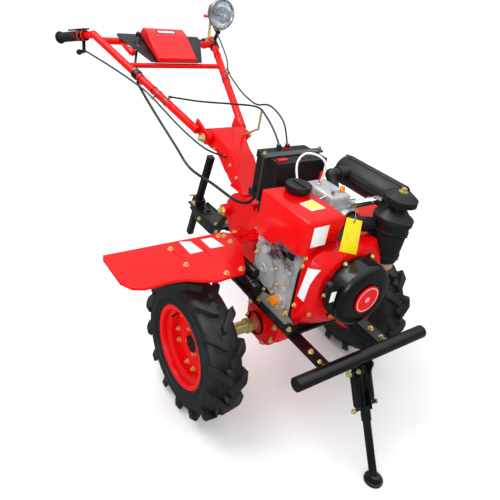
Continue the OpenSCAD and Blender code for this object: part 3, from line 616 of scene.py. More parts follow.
class Shape:
    """A mesh that is put together in millimetres from the axle's middle."""

    def __init__(self) -> None:
        """Starts empty."""
        self.bm = bmesh.new()

    def skin(self, low: list[bmesh.types.BMVert], high: list[bmesh.types.BMVert]) -> list:
        """Joins two loops of points with faces.

        Args:
            low: the first loop.
            high: the second, with as many points.

        Returns:
            The faces.
        """
        n = len(low)
        return [self.bm.faces.new((low[i], low[(i + 1) % n], high[(i + 1) % n], high[i]))
                for i in range(n)]

    def _loft(self, rings: list) -> Shape:
        """Joins loops one after another and closes both ends.

        Args:
            rings: the loops.

        Returns:
            This shape.
        """
        for low, high in zip(rings, rings[1:]):
            self.skin(low, high)
        self.bm.faces.new(rings[0][::-1])
        self.bm.faces.new(rings[-1])
        return self

    def block(self, low: Triple, high: Triple, bevel: float = 1.0,
              place: Matrix | None = None) -> Shape:
        """Adds a box with rounded edges.

        Args:
            low: its lowest corner.
            high: its highest corner.
            bevel: radius of its edges.
            place: a frame it stands in.

        Returns:
            This shape.
        """
        lo, hi = Vector(low), Vector(high)
        made = bmesh.ops.create_cube(self.bm, size=1.0)["verts"]
        for v in made:
            v.co = Vector((lo[i] + (v.co[i] + 0.5) * (hi[i] - lo[i]) for i in range(3)))
        edges = list({e for v in made for e in v.link_edges})
        eased = bmesh.ops.bevel(self.bm, geom=edges, offset=bevel, segments=EASE_STEPS,
                                profile=EASE_PROFILE, affect="EDGES", clamp_overlap=True)["faces"]
        made = {v for f in eased for v in f.verts} | {v for v in made if v.is_valid}
        if place is not None:
            bmesh.ops.transform(self.bm, matrix=place, verts=list(made))
        return self

    def lathe(self, profile: Pairs, at: Triple | Matrix, axis: Triple = UP,
              steps: int = 32) -> Shape:
        """Adds a turned body.

        Args:
            profile: (radius, height) points; without a radius of 0 at an end it closes on itself
                as a ring.
            at: where it stands, or the frame it stands in.
            axis: the way its height goes, if at is a point.
            steps: how many sides it has.

        Returns:
            This shape.
        """
        place = at if isinstance(at, Matrix) else basis(at, axis)
        rings = [[self.bm.verts.new(place @ Vector((radius * c, radius * s, height)))
                  for c, s in circle(steps)] if radius else
                 [self.bm.verts.new(place @ Vector((0, 0, height)))] for radius, height in profile]
        loop = len(rings[0]) > 1 and len(rings[-1]) > 1
        for a, b in zip(rings, rings[1:] + (rings[:1] if loop else [])):
            if len(a) > 1 and len(b) > 1:
                self.skin(a, b)
                continue
            tip, rim = (a[0], b[::-1]) if len(a) == 1 else (b[0], a)
            for p, q in zip(rim, rim[1:] + rim[:1]):
                self.bm.faces.new((tip, p, q))
        return self

    def post(self, profile: Pairs, at: Triple | Matrix, axis: Triple = UP,
             steps: int = 32) -> Shape:
        """Adds a turned body with flat ends; its profile leaves out the points on the axis."""
        ends = [(0, profile[0][1]), (0, profile[-1][1])]
        return self.lathe([ends[0], *profile, ends[1]], at, axis, steps)

    def disc(self, radius: float, height: float, at: Triple | Matrix, axis: Triple = UP,
             steps: int = 32) -> Shape:
        """Adds a round disc."""
        return self.post([(radius, 0), (radius, height)], at, axis, steps)

    def band(self, inner: float, outer: float, height: float, at: Triple | Matrix,
             axis: Triple = UP, steps: int = 32) -> Shape:
        """Adds a ring of square section."""
        return self.lathe([(inner, 0), (outer, 0), (outer, height), (inner, height)], at, axis,
                          steps)

    def tube(self, points: Sequence[Triple], radius: float | Sequence[float], sides: int = 12,
             rounds: int = 0) -> Shape:
        """Adds a round bar along points.

        Args:
            points: its centre line.
            radius: its radius, or one for each point.
            sides: how many sides it has.
            rounds: how often the line is smoothed first.

        Returns:
            This shape.
        """
        line = [Vector(p) for p in points]
        for _ in range(rounds):
            cut = [q for a, b in zip(line, line[1:])
                   for q in (a * 0.75 + b * 0.25, a * 0.25 + b * 0.75)]
            line = [line[0], *cut, line[-1]]
        radii = [radius] * len(line) if isinstance(radius, (int, float)) else list(radius)
        lean = Vector(FIRST_LEAN)
        rings = []
        for i, p in enumerate(line):
            along = (line[min(i + 1, len(line) - 1)] - line[max(i - 1, 0)]).normalized()
            x = (lean - along * along.dot(lean)).normalized()
            y = along.cross(x)
            lean = x
            rings.append([self.bm.verts.new(p + radii[i] * (x * c + y * s))
                          for c, s in circle(sides)])
        return self._loft(rings)

    def arc(self, centre: Triple, inner: float, outer: float, low: float, high: float, x0: float,
            x1: float, steps: int = 10, chamfer: float = 2.0) -> Shape:
        """Adds a curved sheet over an axis along x.

        Args:
            centre: a point of the axis.
            inner: its inner radius.
            outer: its outer radius.
            low: first angle from straight up, in degrees.
            high: last angle.
            x0: where it starts along x.
            x1: where it ends.
            steps: how many flats it has.
            chamfer: how far its ends lean in.

        Returns:
            This shape.
        """
        rings = []
        for i in range(steps + 1):
            a = math.radians(low + (high - low) * i / steps)
            rings.append([self.bm.verts.new((x, centre[1] + r * math.sin(a),
                                             centre[2] + r * math.cos(a)))
                          for x, r in ((x0, inner), (x0 + chamfer, outer), (x1 - chamfer, outer),
                                       (x1, inner))])
        return self._loft(rings)

    def plate(self, corners: Sequence[Triple], thick: float, bevel: float = 0.0) -> Shape:
        """Adds a flat plate.

        Args:
            corners: its outline, anticlockwise as seen from outside.
            thick: how far it stands out.
            bevel: radius of its outer edge.

        Returns:
            This shape.
        """
        pts = [Vector(c) for c in corners]
        normal = sum((a.cross(b) for a, b in zip(pts, pts[1:] + pts[:1])), Vector())
        normal.normalize()
        low = [self.bm.verts.new(p) for p in pts]
        high = [self.bm.verts.new(p + normal * thick) for p in pts]
        top = self.bm.faces.new(high)
        self.bm.faces.new(low[::-1])
        self.skin(low, high)
        if bevel:
            bmesh.ops.bevel(self.bm, geom=list(top.edges), offset=bevel, segments=EASE_STEPS,
                            profile=EASE_PROFILE, affect="EDGES")
        return self

    def slab(self, corners: Sequence[Triple], run: Vector, bevel: float) -> Shape:
        """Adds a prism with rounded edges at both ends.

        Args:
            corners: one end's outline.
            run: the way to the other end.
            bevel: radius of the edges.

        Returns:
            This shape.
        """
        low = [self.bm.verts.new(Vector(c)) for c in corners]
        high = [self.bm.verts.new(Vector(c) + run) for c in corners]
        ends = [self.bm.faces.new(low), self.bm.faces.new(high[::-1])]
        sides = self.skin(low[::-1], high[::-1])
        bmesh.ops.recalc_face_normals(self.bm, faces=ends + sides)
        rims = list({e for f in ends for e in f.edges})
        bmesh.ops.bevel(self.bm, geom=rims, offset=bevel, segments=5, profile=0.5, affect="EDGES",
                        clamp_overlap=True)
        return self

    def mesh(self) -> bpy.types.Mesh:
        """Ends the building.

        Returns:
            The mesh, still in millimetres from the axle.
        """
        bmesh.ops.recalc_face_normals(self.bm, faces=self.bm.faces)
        made = bpy.data.meshes.new("shape")
        self.bm.to_mesh(made)
        self.bm.free()
        return made


def piece(name: str, parts: Shape | Sequence[bpy.types.Mesh], look: Look, body: str = "chassis",
          sharp: float = 38.0, replaces: Sequence[str] = (), slot: str = "",
          place: Matrix = AXLE) -> None:
    """Joins parts as one finished piece of the model.

    Args:
        name: name of the piece.
        parts: one shape, or meshes that are used up.
        look: its finish.
        body: the body it rides on.
        sharp: edges over this many degrees stay sharp.
        replaces: CAD nodes that it stands for.
        slot: not used; the slot is worked out from it and its look, then dropped.
        place: what brings the parts into the shared frame.
    """
    bm = bmesh.new()
    for part in [parts.mesh()] if isinstance(parts, Shape) else parts:
        bm.from_mesh(part)
        bpy.data.meshes.remove(part)
    bm.transform(place)
    for face in bm.faces:
        face.material_index = 0
    mesh = bpy.data.meshes.new(name)
    bm.to_mesh(mesh)
    bm.free()
    mesh.materials.append(look.value.material())
    mesh.shade_smooth()
    mesh.set_sharp_from_angle(angle=math.radians(sharp))
    made = stand(name, mesh)
    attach(made, body)
    slot or look.slot
    if replaces:
        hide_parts(*replaces)
    LOG.info("%s: %d faces on %s", name, len(mesh.polygons), body)


def dress(nodes: str, ease: float = 1.2, angle: float = 32.0, look: Look | None = None) -> None:
    """Copies solids of the frame, eases their edges and stands for them.

    Args:
        nodes: their names, parted by spaces.
        ease: radius of their edges, 0 for none.
        angle: edges under this many degrees are left.
        look: another finish than that of their slot.
    """
    for node in nodes.split():
        slot = NODE_SLOT[node]
        bm = bmesh.new()
        bm.from_mesh(frame["nodes"][node].data)
        bmesh.ops.remove_doubles(bm, verts=bm.verts, dist=SAME_POINT)
        bmesh.ops.dissolve_limit(bm, angle_limit=FLAT_ANGLE, verts=bm.verts, edges=bm.edges)
        base = bpy.data.meshes.new("base")
        bm.to_mesh(base)
        bm.free()
        base.shade_smooth()
        holder = stand("holder", base)
        if ease:
            bevel = holder.modifiers.new("ease", "BEVEL")
            bevel.width = ease / 1000
            bevel.segments = EASE_STEPS
            bevel.limit_method = "ANGLE"
            bevel.angle_limit = math.radians(angle)
            bevel.use_clamp_overlap = True
            bevel.harden_normals = False
        piece("dressed_" + node, [evaluated(holder)], look or SLOT_LOOK[slot], NODE_BODY[node],
              DRESSED_SHARP, [node], slot, Matrix())


class Screws:
    """Screws of one piece on one body."""

    def __init__(self, name: str, body: str = "chassis") -> None:
        """Starts without screws."""
        self.name, self.body = name, body
        self.spots: list[tuple[Triple, Triple, float]] = []

    def add(self, at: Triple, axis: Triple, size: float = 9.0) -> Screws:
        """Adds a screw of that head width at a point, standing out along axis."""
        self.spots.append((at, axis, size))
        return self

    def many(self, spots: Sequence[Triple], axis: Triple, size: float) -> Screws:
        """Adds screws of one size that point one way.

        Args:
            spots: where they stand.
            axis: the way they stand out.
            size: width of their heads.

        Returns:
            These screws.
        """
        for at in spots:
            self.add(at, axis, size)
        return self

    def ring(self, centre: Triple, axis: Triple, radius: float, count: int, size: float,
             start: float = 0.0) -> Screws:
        """Adds a circle of screws.

        Args:
            centre: the middle of the circle.
            axis: the way they stand out.
            radius: radius of the circle.
            count: how many.
            size: width of their heads.
            start: angle of the first, in degrees.

        Returns:
            These screws.
        """
        place = basis(centre, axis)
        for i in range(count):
            a = math.radians(start) + 2 * math.pi * i / count
            self.add(place @ Vector((radius * math.cos(a), radius * math.sin(a), 0)), axis, size)
        return self

    def build(self) -> None:
        """Makes the piece."""
        points = bpy.data.meshes.new(self.name)
        points.from_pydata([tuple(s[0]) for s in self.spots], [], [])
        points.attributes.new("axis", "FLOAT_VECTOR", "POINT")
        points.attributes.new("size", "FLOAT", "POINT")
        for i, (_, direction, width) in enumerate(self.spots):
            points.attributes["axis"].data[i].vector = Vector(direction).normalized()
            points.attributes["size"].data[i].value = width
        piece(self.name, [grow(bolt_tree(), points, Look.ZINC)], Look.ZINC, self.body, sharp=25.0)


def on_y(y: float, spots: Pairs) -> list[Triple]:
    """Points given as (x, z), in an upright plane at y."""
    return [(x, y, z) for x, z in spots]


def on_z(z: float, spots: Pairs) -> list[Triple]:
    """Points given as (x, y), in a level plane at z."""
    return [(x, y, z) for x, y in spots]


# ---------------------------------------------------------------- wheels
@dataclass
class Wheel:
    """A drive wheel: tyre, split rim and six-sided shaft."""

    side: int
    middle: float = 362.0
    height: float = 243.0
    bolt_circle: float = 48.0
    bolts: int = 6
    rim_circle: float = 97.0
    pairs: int = 5
    tread: float = 219.5
    studs: int = 14
    stud_start: float = math.radians(3.96)
    pin: float = 318.0

    def build(self) -> None:
        """Makes the wheel's pieces."""
        side, middle, z = self.side, self.side * self.middle, self.height
        word = "left" if side > 0 else "right"
        body = "wheel_" + word
        out = (0, side, 0)
        dress(f"tyre_{word}", 2.5, 30)
        dress(f"rim_{word}", 0.8)
        dress(f"half_shaft_{word}", 1.0)
        ribs = Shape()
        for r, reach in ((156.0, 56.5), (161.0, 57.0), (190.0, 56.7)):
            for face in SIDES:
                ribs.lathe([(r - 1.6, 0), (r - 1.0, 1.3), (r + 1.0, 1.3), (r + 1.6, 0)],
                           (0, middle + face * reach, z), (0, face, 0), 96)
        piece(f"tyre_ribs_{word}", ribs, Look.RUBBER, body)
        stud = Shape().post([(15, 0), (13.4, 16), (12, 17.6), (4, 18.2)], (0, self.tread, 0), LEFT,
                            24)
        turn = Matrix.Translation((0, middle, z)) @ Matrix.Rotation(math.pi / 2, 4, "X")
        studs = around(stud, self.studs, self.stud_start, Look.RUBBER, turn)
        piece(f"tyre_studs_{word}", [studs], Look.RUBBER, body)
        screws = Screws(f"rim_screws_{word}", body)
        screws.ring((0, middle - side * 12, z), out, self.bolt_circle, self.bolts, 13.0)
        screws.ring((0, middle - side * 23, z), (0, -side, 0), self.bolt_circle, self.bolts, 15.0)
        for start in (22.5, 46.5):
            screws.ring((0, middle + side * 0.2, z), out, self.rim_circle, self.pairs, 11.0,
                        side * start)
        screws.build()
        # Painted shade: a near-black disc where the hub's bore opens.
        mouth_shade = Shape().disc(30, 0.5, (0, middle + side * 6, z), out, 48)
        piece(f"hub_mouth_shade_{word}", mouth_shade, Look.DARK, body)
        at = basis((0, middle, z), out)
        valve = Shape().tube([at @ Vector(p) for p in ((60, 92, 8), (58, 88, 22), (57, 86, 36))],
                             [3.4, 3.0, 3.4], 10)
        piece(f"valve_{word}", valve, Look.BLACK_PLASTIC, body)
        pin = Shape().tube([(x, side * self.pin, z) for x in (-30, 30)], 4.0)
        piece(f"hub_pin_{word}", pin, Look.ZINC, body)


# ---------------------------------------------------------------- transmission and frame
@dataclass
class RearGear:
    """Gearbox, its cover, the hitch and the depth stake."""

    axle: float = 243.0
    cover_circle: float = 80.0
    flange_circle: float = 88.5
    stake_foot: Point = (-655.0, 0.0, 362.0)
    stake_lean: float = math.radians(15)
    stake_holes: int = 8

    def build(self) -> None:
        """Makes the pieces."""
        dress("gearbox gearbox_cover", 2.0)
        dress("hitch", 1.2)
        dress("depth_stake", 1.6)
        stake = basis(self.stake_foot, (math.sin(self.stake_lean), 0, math.cos(self.stake_lean)),
                      FORE)
        hole_shades, seals, screws = Shape(), Shape(), Screws("gearbox_screws")
        screws.ring((-61, 0, 544), FORE, self.flange_circle, 8, 11.0, 22.5)
        screws.add((-335, -84, 512), RIGHT, 20).add((-250, -74, 452), RIGHT, 22)
        screws.many(on_y(-88, [(36, 300), (74, 280), (70, 218)]), RIGHT, 10)
        screws.many([stake @ Vector((0, -22, z)) for z in (4, 20)], RIGHT, 12)
        for k in SIDES:
            out = (0, k, 0)
            screws.ring((0, k * 91, self.axle), out, self.cover_circle, 8, 11.0, 20.0)
            screws.many(on_y(k * 41.5, [(-420, 364), (-560, 352), (-385, 470)]), out, 11)
            screws.many(on_y(k * 24, [(-640, 376), (-456, 376)]), UP, 10)
            for i in range(self.stake_holes):
                # Painted shade: near-black discs where the stake's holes are.
                hole_shades.disc(4.4, 0.25, stake @ Vector((0, k * 12.5, 60 + i * 25)), out, 20)
            seals.lathe([(40, 0), (44.5, 0), (44.5, 5), (41, 7.5), (40, 7.5)],
                        (0, k * 112, self.axle), out, 40)
        screws.build()
        rod = Shape().tube([stake @ Vector((x, 0, 20)) for x in (-22, -46)], 5.0, 14)
        rod.tube([stake @ Vector((-46, y, 20)) for y in (-20, 20)], 4.0)
        piece("stake_clamp", rod, Look.ZINC)
        # stake_holes is the painted shade of the stake's holes.
        piece("stake_holes", hole_shades, Look.DARK, "stake")
        for z in (308, 343):
            seals.block((-66, -60, z), (-24, 60, z + 1.2), 0.5)
        piece("axle_seals", seals, Look.BLACK_PLASTIC)


@dataclass
class FrontFrame:
    """Rails, bumper, folding stand and its springs."""

    pivot: tuple[float, float] = (382.0, 318.0)
    foot: tuple[float, float] = (557.0, 8.0)
    leg_pin: float = 118.0

    def build(self) -> None:
        """Makes the pieces."""
        dress("frame_rails", 1.2)
        dress("bumper", 1.6)
        dress("stand_bracket stand_leg", 1.0)
        x, z = self.pivot
        along = Vector((self.foot[0] - x, 0, self.foot[1] - z)).normalized()
        pin = Vector((x, 0, z)) + along * self.leg_pin
        caps, screws, foot = Shape(), Screws("frame_screws"), Screws("stand_screws", "stand")
        for k, word in zip(SIDES, ("right", "left")):
            out = (0, k, 0)
            start = Vector((x, k * 35, z))
            core = Shape().tube([start + along * s for s in (8, 110)], 5.2, 16)
            spring = coil(17.0, 6.8, 92.0, 1.7, Look.BLACK_PLASTIC,
                          basis(start + along * 13, along))
            piece(f"spring_{word}", [spring, core.mesh()], Look.BLACK_PLASTIC, "stand", 60,
                  [f"stand_spring_{word}"])
            screws.many([(s, k * 128, 357) for s in (-40, 10, 178, 286)], UP, 11)
            screws.many([(s, k * 100, 353) for s in (-38, 14)], UP, 11)
            screws.many([(s, k * 131, 357) for s in (330, 350)], UP, 9)
            screws.add((x, k * 46, z), out, 12)
            screws.many(on_y(k * 22, [(x - 14, z + 14), (x + 12, z + 12)]), out, 10)
            foot.add(pin + Vector((0, k * 46, 0)), out, 10)
            caps.lathe([(0, 0), (18, 0), (18, 0.1), (16, 0.2), (14, -3), (0, -5)],
                       (379, k * 264.7, 372), out)
        screws.build()
        foot.build()
        piece("bumper_ends", caps, Look.BLACK_PLASTIC)


# ---------------------------------------------------------------- engine
@dataclass
class Engine:
    """Single-cylinder engine with its starters, filters and tank."""

    crank_z: float = 544.0
    side_y: float = -126.0
    shroud_x: float = 250.3
    disc_x: float = 327.9
    # where the shroud's cone starts, its radius there, its slope, and how far out its side is
    shroud_cone: tuple[float, float, float, float] = (184.0, 196.0, 70 / 66, 144.0)
    recoil: float = 102.0
    slats: int = 9
    tank_top: float = 760.0
    muffler: tuple[float, float] = (262.0, 732.0)
    cleaner: Point = (198.0, 164.0, 537.0)
    starter: tuple[float, float] = (-158.0, 410.0)
    oil_cap: Point = (96.0, 420.0, 12.6)

    def block(self) -> None:
        """Crankcase, barrel, head and cover."""
        dress("crankcase rocker_cover", 2.0)
        dress("cylinder_barrel cylinder_head", 0.8)
        fin = Shape().block((-41, -17, 607.2), (113, 113, 608.6), 0.4)
        piece("barrel_fins", [row(fin, 9, (0, 0, 4.5), Look.CAST)], Look.CAST)
        gaskets = Shape().block((-39, -17, 650.6), (111, 111, 652.6), 0.3)
        gaskets.block((-39.5, -1.5, 716), (105.5, 91.5, 718), 0.3)
        piece("gaskets", gaskets, Look.DARK)
        screws, face = Screws("engine_screws"), self.side_y
        screws.many([(x, y, 724) for x in (-28, 94) for y in (10, 80)], UP, 10)
        screws.many([(x, y, 710) for x in (-32, 102) for y in (-8, 102)], UP, 13)
        screws.many(on_y(face, [(59, 392), (145, 396)]), RIGHT, 15)
        screws.many(on_y(face, [(-20, 404), (-36, 388)]), RIGHT, 10)
        screws.many(on_y(face, [(93, 392), (-44, 440), (-44, 540), (-16, 584), (58, 584),
                                (90, 556), (126, 498), (126, 408), (96, 384), (-16, 384)]),
                    RIGHT, 9)
        screws.add((184, -144, 607), RIGHT, 11).add((187, -140, 634), (0, -1, 0.3), 9)
        screws.add((230, -118, 459), (0.7, -0.62, -0.35), 11).add((190, -143.8, 470), RIGHT, 10)
        screws.many([(x, 132, z) for x in (-10, 60, 120) for z in (420, 540)], LEFT, 10)
        screws.build()

    def side(self) -> None:
        """What stands on the crankcase's right side: cover, pump and governor."""
        face = self.side_y
        edge = [(-48, 452), (-48, 520), (-22, 550), (40, 554), (70, 522), (90, 470), (72, 424),
                (30, 408), (-20, 418)]
        inner = [(-34, 466), (-34, 512), (-12, 534), (34, 536), (54, 512), (70, 470), (58, 438),
                 (26, 424), (-14, 432)]
        bosses = ((4, 482, 17), (46, 500, 8), (-24, 578, 10), (112, 470, 9), (112, 430, 8),
                  (126, 540, 7))
        cover = Shape().plate(on_y(face + 0.2, edge), 5.0, 1.8)
        cover.plate(on_y(face - 4.7, inner), 1.6, 1.0)
        for x, z, r in bosses:
            cover.post([(r, 0), (r, 6), (r - 2, 8), (r * 0.45, 8), (r * 0.4, 6.6)],
                       (x, face + 0.5, z), RIGHT, 28)
        for x in (100, 114, 128):
            cover.block((x, face - 3, 600 - x), (x + 3.4, face + 0.4, 566), 0.8)
        piece("side_cover", cover, Look.CAST)
        middle = Vector((16, face - 5, 482))
        Screws("side_cover_screws").many([Vector(p).lerp(middle, 0.1)
                                          for p in on_y(face - 5, edge)], RIGHT, 8).build()
        dark = Shape().plate(on_y(face - 1, [(-22, 432), (40, 420), (64, 410), (20, 399),
                                             (-40, 404), (-58, 430)]), 2.4, 0.8)
        dark.block((68, -140, 566), (98, -128, 590), 2.0)
        dark.block((104, -136, 586), (132, -128, 602), 2.0)
        piece("dark_plate", dark, Look.BLACK_PAINT)
        fin = Shape().block((30, -152, 558), (33, -128, 606), 0.6)
        heart = Shape().block((28, -146, 556), (70, -128, 608), 1.5)
        for x in (40, 58):
            heart.post([(8, 0), (8, 14), (6, 16), (6, 24)], (x, -140, 604), steps=12)
        piece("pump_body", [row(fin, 6, (7, 0, 0), Look.STEEL), heart.mesh()], Look.STEEL)
        lever = Shape().plate(on_y(-142, [(122, 556), (128, 566), (72, 604), (66, 596)]), 3.0, 0.6)
        lever.tube([(70, -124, 599), (70, -150, 599)], 4.0)
        lever.tube([(124, -124, 562), (124, -152, 562)], 3.6)
        lever.block((60, -136, 606), (140, -132, 624), 1.0)
        spring = coil(14.0, 4.2, 56.0, 0.8, Look.STEEL, basis((124, -149, 562), (-0.82, 0, 0.57)))
        piece("governor_lever", [lever.mesh(), spring], Look.STEEL, sharp=60)

    def pipes(self) -> None:
        """Fuel pipes and what is screwed into the head."""
        cap = Shape().post([(7, 0), (7.5, 3), (6, 6), (6, 20), (4.5, 24)], (-27, 64, 757.5),
                           steps=20)
        piece("decompression_cap", cap, Look.RED_PLASTIC)
        nut = Shape().post([(10, 0), (10, 9), (8, 11), (8, 16), (6, 18)], (70, 66, 757.5), steps=6)
        piece("breather_nut", nut, Look.ORANGE)
        mount = Shape().block((74, 92, 724), (104, 128, 728)).block((142, 128, 764),
                                                                    (176, 150, 768))
        mount.plate([(86, 100, 728), (106, 100, 728), (166, 136, 766), (146, 140, 766)], 3.0, 0.8)
        piece("cleaner_bracket", mount, Look.STEEL)
        pipes = Shape()
        pipes.tube([(-2, -146, 613), (-2, -146, 640), (10, -120, 676), (44, -60, 720),
                    (60, -14, 736), (70, 20, 757)], 3.0, rounds=3)
        pipes.tube([(34, -160, 590), (40, -170, 612), (20, -150, 616), (4, -120, 612)], 3.0, 10, 2)
        pipes.post([(7, 0), (7, 12), (5, 13)], (-2, -146, 611), steps=6)
        pipes.post([(9, 0), (9, 8), (6, 10), (6, 26)], (78, 22, 742), steps=6)
        piece("fuel_pipes", pipes, Look.STEEL)

    def shroud(self) -> None:
        """Fan shroud, recoil starter and its handle."""
        dress("shroud_plate recoil_disc recoil_handle", 1.4)
        dress("fan_shroud", 3.0)
        front, r = basis((self.shroud_x, 0, self.crank_z), FORE), self.recoil
        shell = Shape().post([(r, 0), (r, 52), (r - 1.4, 58), (r - 6, 64), (r - 12, 69),
                              (r - 17, 71), (62, 71.7), (60, 70), (48, 70), (47, 66)], front,
                             steps=96)
        ear = Shape().block((r - 6, -8, 0), (r + 12, 8, 7), 1.6)
        ears = around(ear, 6, math.radians(-150), Look.BLACK_PAINT, front)
        piece("recoil_shell", [shell.mesh(), ears], Look.BLACK_PAINT, sharp=30,
              replaces=["recoil_cover"])
        # The near-black louvres are painted shade inside the recoil shell's slots; the louvre lips
        # are the shell's real black paint.
        for turn, word in ((200, "upper"), (320, "lower"), (440, "far")):
            for name, look, low, high, out in (("louvre_shade", Look.DARK, -1.9, 1.9, 0.25),
                                               ("louvre_lips", Look.BLACK_PAINT, 1.7, 2.9, 1.1)):
                slat = Shape().block((r - 0.6, low, 9), (r + out, high, 49), 0.25)
                slats = around(slat, self.slats, math.radians(turn), look, front, math.radians(5.4))
                piece(f"{name}_{word}", [slats], look)
        middle = (self.disc_x, 0, self.crank_z)
        ring = Shape().band(37.5, 41, 0.35, middle, FORE, 64).disc(9, 0.35, middle, FORE)
        piece("disc_ring", ring, Look.PINK)
        Screws("shroud_screws").ring((257.4, 0, self.crank_z), FORE, r + 6, 6, 9, 30).build()
        label = self.decal([(209, 617), (235, 619), (223, 506), (194, 507)])
        piece("shroud_label", label, Look.LABEL, sharp=60)
        patch = Shape().block((302.2, -131, 556), (303.6, -113, 590), 0.4)
        piece("handle_patch", patch, Look.LABEL)

    def decal(self, corners: Pairs, steps: int = 16) -> Shape:
        """A thin label that lies on the fan shroud's right side.

        Args:
            corners: its corners as (x, z), in order.
            steps: how finely it follows the surface.

        Returns:
            The label.
        """
        made, n, sheets = Shape(), steps + 1, []
        foot_x, foot, slope, flat = self.shroud_cone
        a, b, c, d = (Vector(corner) for corner in corners)
        for lift in (0.2, 0.9):
            grid = []
            for i in range(n):
                top, low = a.lerp(b, i / steps), d.lerp(c, i / steps)
                for j in range(n):
                    x, z = top.lerp(low, j / steps)
                    radius = foot - (x - foot_x) * slope
                    y = min(flat, math.sqrt(radius ** 2 - (z - self.crank_z) ** 2))
                    grid.append(made.bm.verts.new((x + (lift if y < flat else 0), -y - lift, z)))
            for i in range(steps):
                for k in range(i * n, i * n + steps):
                    made.bm.faces.new((grid[k], grid[k + 1], grid[k + n + 1], grid[k + n]))
            sheets.append(grid)
        last = steps * n
        rim = [*range(0, last, n), *range(last, last + steps), *range(last + steps, steps, -n),
               *range(steps, 0, -1)]
        made.skin(*([grid[i] for i in rim] for grid in sheets))
        return made

    def tank(self) -> None:
        """Fuel tank, its cap, hose fittings and plain labels."""
        dress("fuel_tank", 3.0)
        dress("tank_bracket", 0.8)
        dress("tank_cap", 2.0)
        dress("fuel_hose", 0.0)
        top = self.tank_top
        seam = Shape().tube([(190, -151, 759.2), (190, -168, 754), (190, -173.6, 738),
                             (190, -173.6, 690), (190, -168, 668)], 1.3, 8, 2)
        piece("tank_seam", seam, Look.RED_PAINT)
        rib = Shape().block((38.4, -2.4, 9), (40.4, 2.4, 25), 0.6)
        ribs = around(rib, 24, 0.0, Look.BLACK_PLASTIC, Matrix.Translation((32, -80, top)))
        bar = Shape().block((4, -84, top + 25.5), (60, -76, top + 30), 1.6)
        piece("cap_ribs", [ribs, bar.mesh()], Look.BLACK_PLASTIC)
        labels = Shape().block((203.8, -152, 680), (204.7, -98, 742), 0.3)
        labels.plate(on_z(top, [(99, -126), (148, -120), (146, -67), (90, -71)]), 0.5)
        piece("tank_labels", labels, Look.LABEL)
        yellow = Shape().plate(on_z(top, [(103, -121), (144, -116), (142, -71), (95, -75)]), 0.8)
        piece("tank_label_yellow", yellow, Look.LABEL_YELLOW)
        stub = Shape().post([(8, 0), (8, 12), (6, 15)], (6, -52, 759), steps=20)
        piece("tank_stub", stub, Look.RED_PLASTIC)
        fittings, clips = Shape(), Shape()
        for at in ((-12, -42, 757.5), (6, 30, 757.5)):
            fittings.post([(7, 0), (7, 4), (4.4, 6), (4.4, 12), (5.2, 13), (4.4, 15)], at, steps=18)
        for at, way in (((-15, -42, 767), (-0.3, 0, 1)), ((8, 31, 767), (0.1, 0, 1))):
            clips.band(3.5, 5, 4, at, way, 18)
        piece("hose_fittings", fittings, Look.STEEL)
        piece("hose_clips", clips, Look.ZINC)

    def breathing(self) -> None:
        """Muffler, air cleaner and elbow."""
        dress("muffler", 1.4)
        dress("air_cleaner air_bowl", 2.0)
        dress("intake_elbow", 1.2)
        y, z = self.muffler
        straps, guard, clamps = Shape(), Shape(), Shape()
        for x in (-104, 118):
            straps.band(48.6, 50.4, 16, (x, y, z), FORE, 48)
        straps.lathe([(19, 0), (21, 1), (21, 7), (19, 8)], (-63.5, 226, 750), (-0.04, 1, 0))
        piece("muffler_straps", straps, Look.MUFFLER)
        for low, high in ((-62, -18), (-14, 62)):
            guard.arc((0, y, z), 51.0, 53.0, low, high, -118, 142)
        piece("muffler_guard", guard, Look.MUFFLER, sharp=50)
        screws = Screws("pipe_screws").add((-120, y, 780.6), UP, 8)
        screws.many([(x, y, 705) for x in (58, 80) for y in (132, 215)], UP, 9).build()
        can = Matrix.Translation(self.cleaner) @ Matrix.Rotation(
            math.radians(1.8), 4, "Y") @ Matrix.Rotation(math.radians(-2.4), 4, "X")
        for z, inner, outer, high in ((63, 58.2, 60.2, 6), (144, 58.2, 60.2, 6),
                                      (236, 51.6, 53.2, 5)):
            clamps.band(inner, outer, high, can @ Matrix.Translation((0, 0, z)), steps=64)
        for z in (66, 147):
            clamps.tube([can @ Vector((58, -12, z)), can @ Vector((62, 12, z))], 3.2, 10)
        piece("cleaner_clamps", clamps, Look.BLACK_PAINT)
        Screws("cleaner_nut").add(can @ Vector((0, 0, 269)), can.to_3x3() @ Vector(UP), 16).build()
        rims = Shape().band(52.2, 54.2, 3.5, can @ Matrix.Translation((0, 0, 44.5)), steps=64)
        rims.lathe([(52.0, 22), (52.9, 23.4), (52.9, 25.4), (52.0, 27)], can, steps=64)
        piece("bowl_rims", rims, Look.TAN)

    def electrics(self) -> None:
        """Starter motor, pump and oil cap."""
        dress("starter_motor oil_cap", 2.0)
        dress("injection_pump", 1.2)
        posts, bands, ribs = Shape(), Shape(), Shape()
        for at in ((-100, -150, 456), (-100, -138, 447)):
            posts.disc(4.5, 12, at, AFT, 12)
        piece("starter_posts", posts, Look.BRASS)
        for x in (-100, -84, -8):
            bands.band(30.6, 32, 6, (x, *self.starter), FORE, 48)
        piece("starter_bands", bands, Look.BLACK_PAINT)
        Screws("starter_screws").ring((-108, *self.starter), AFT, 21.0, 3, 8.0, 20.0).build()
        x, z, reach = self.oil_cap
        for c, s in circle(12):
            ribs.tube([(x + reach * c, y, z + reach * s) for y in (-149, -138)], 1.4, 8)
        piece("oil_cap_ribs", ribs, Look.ORANGE)

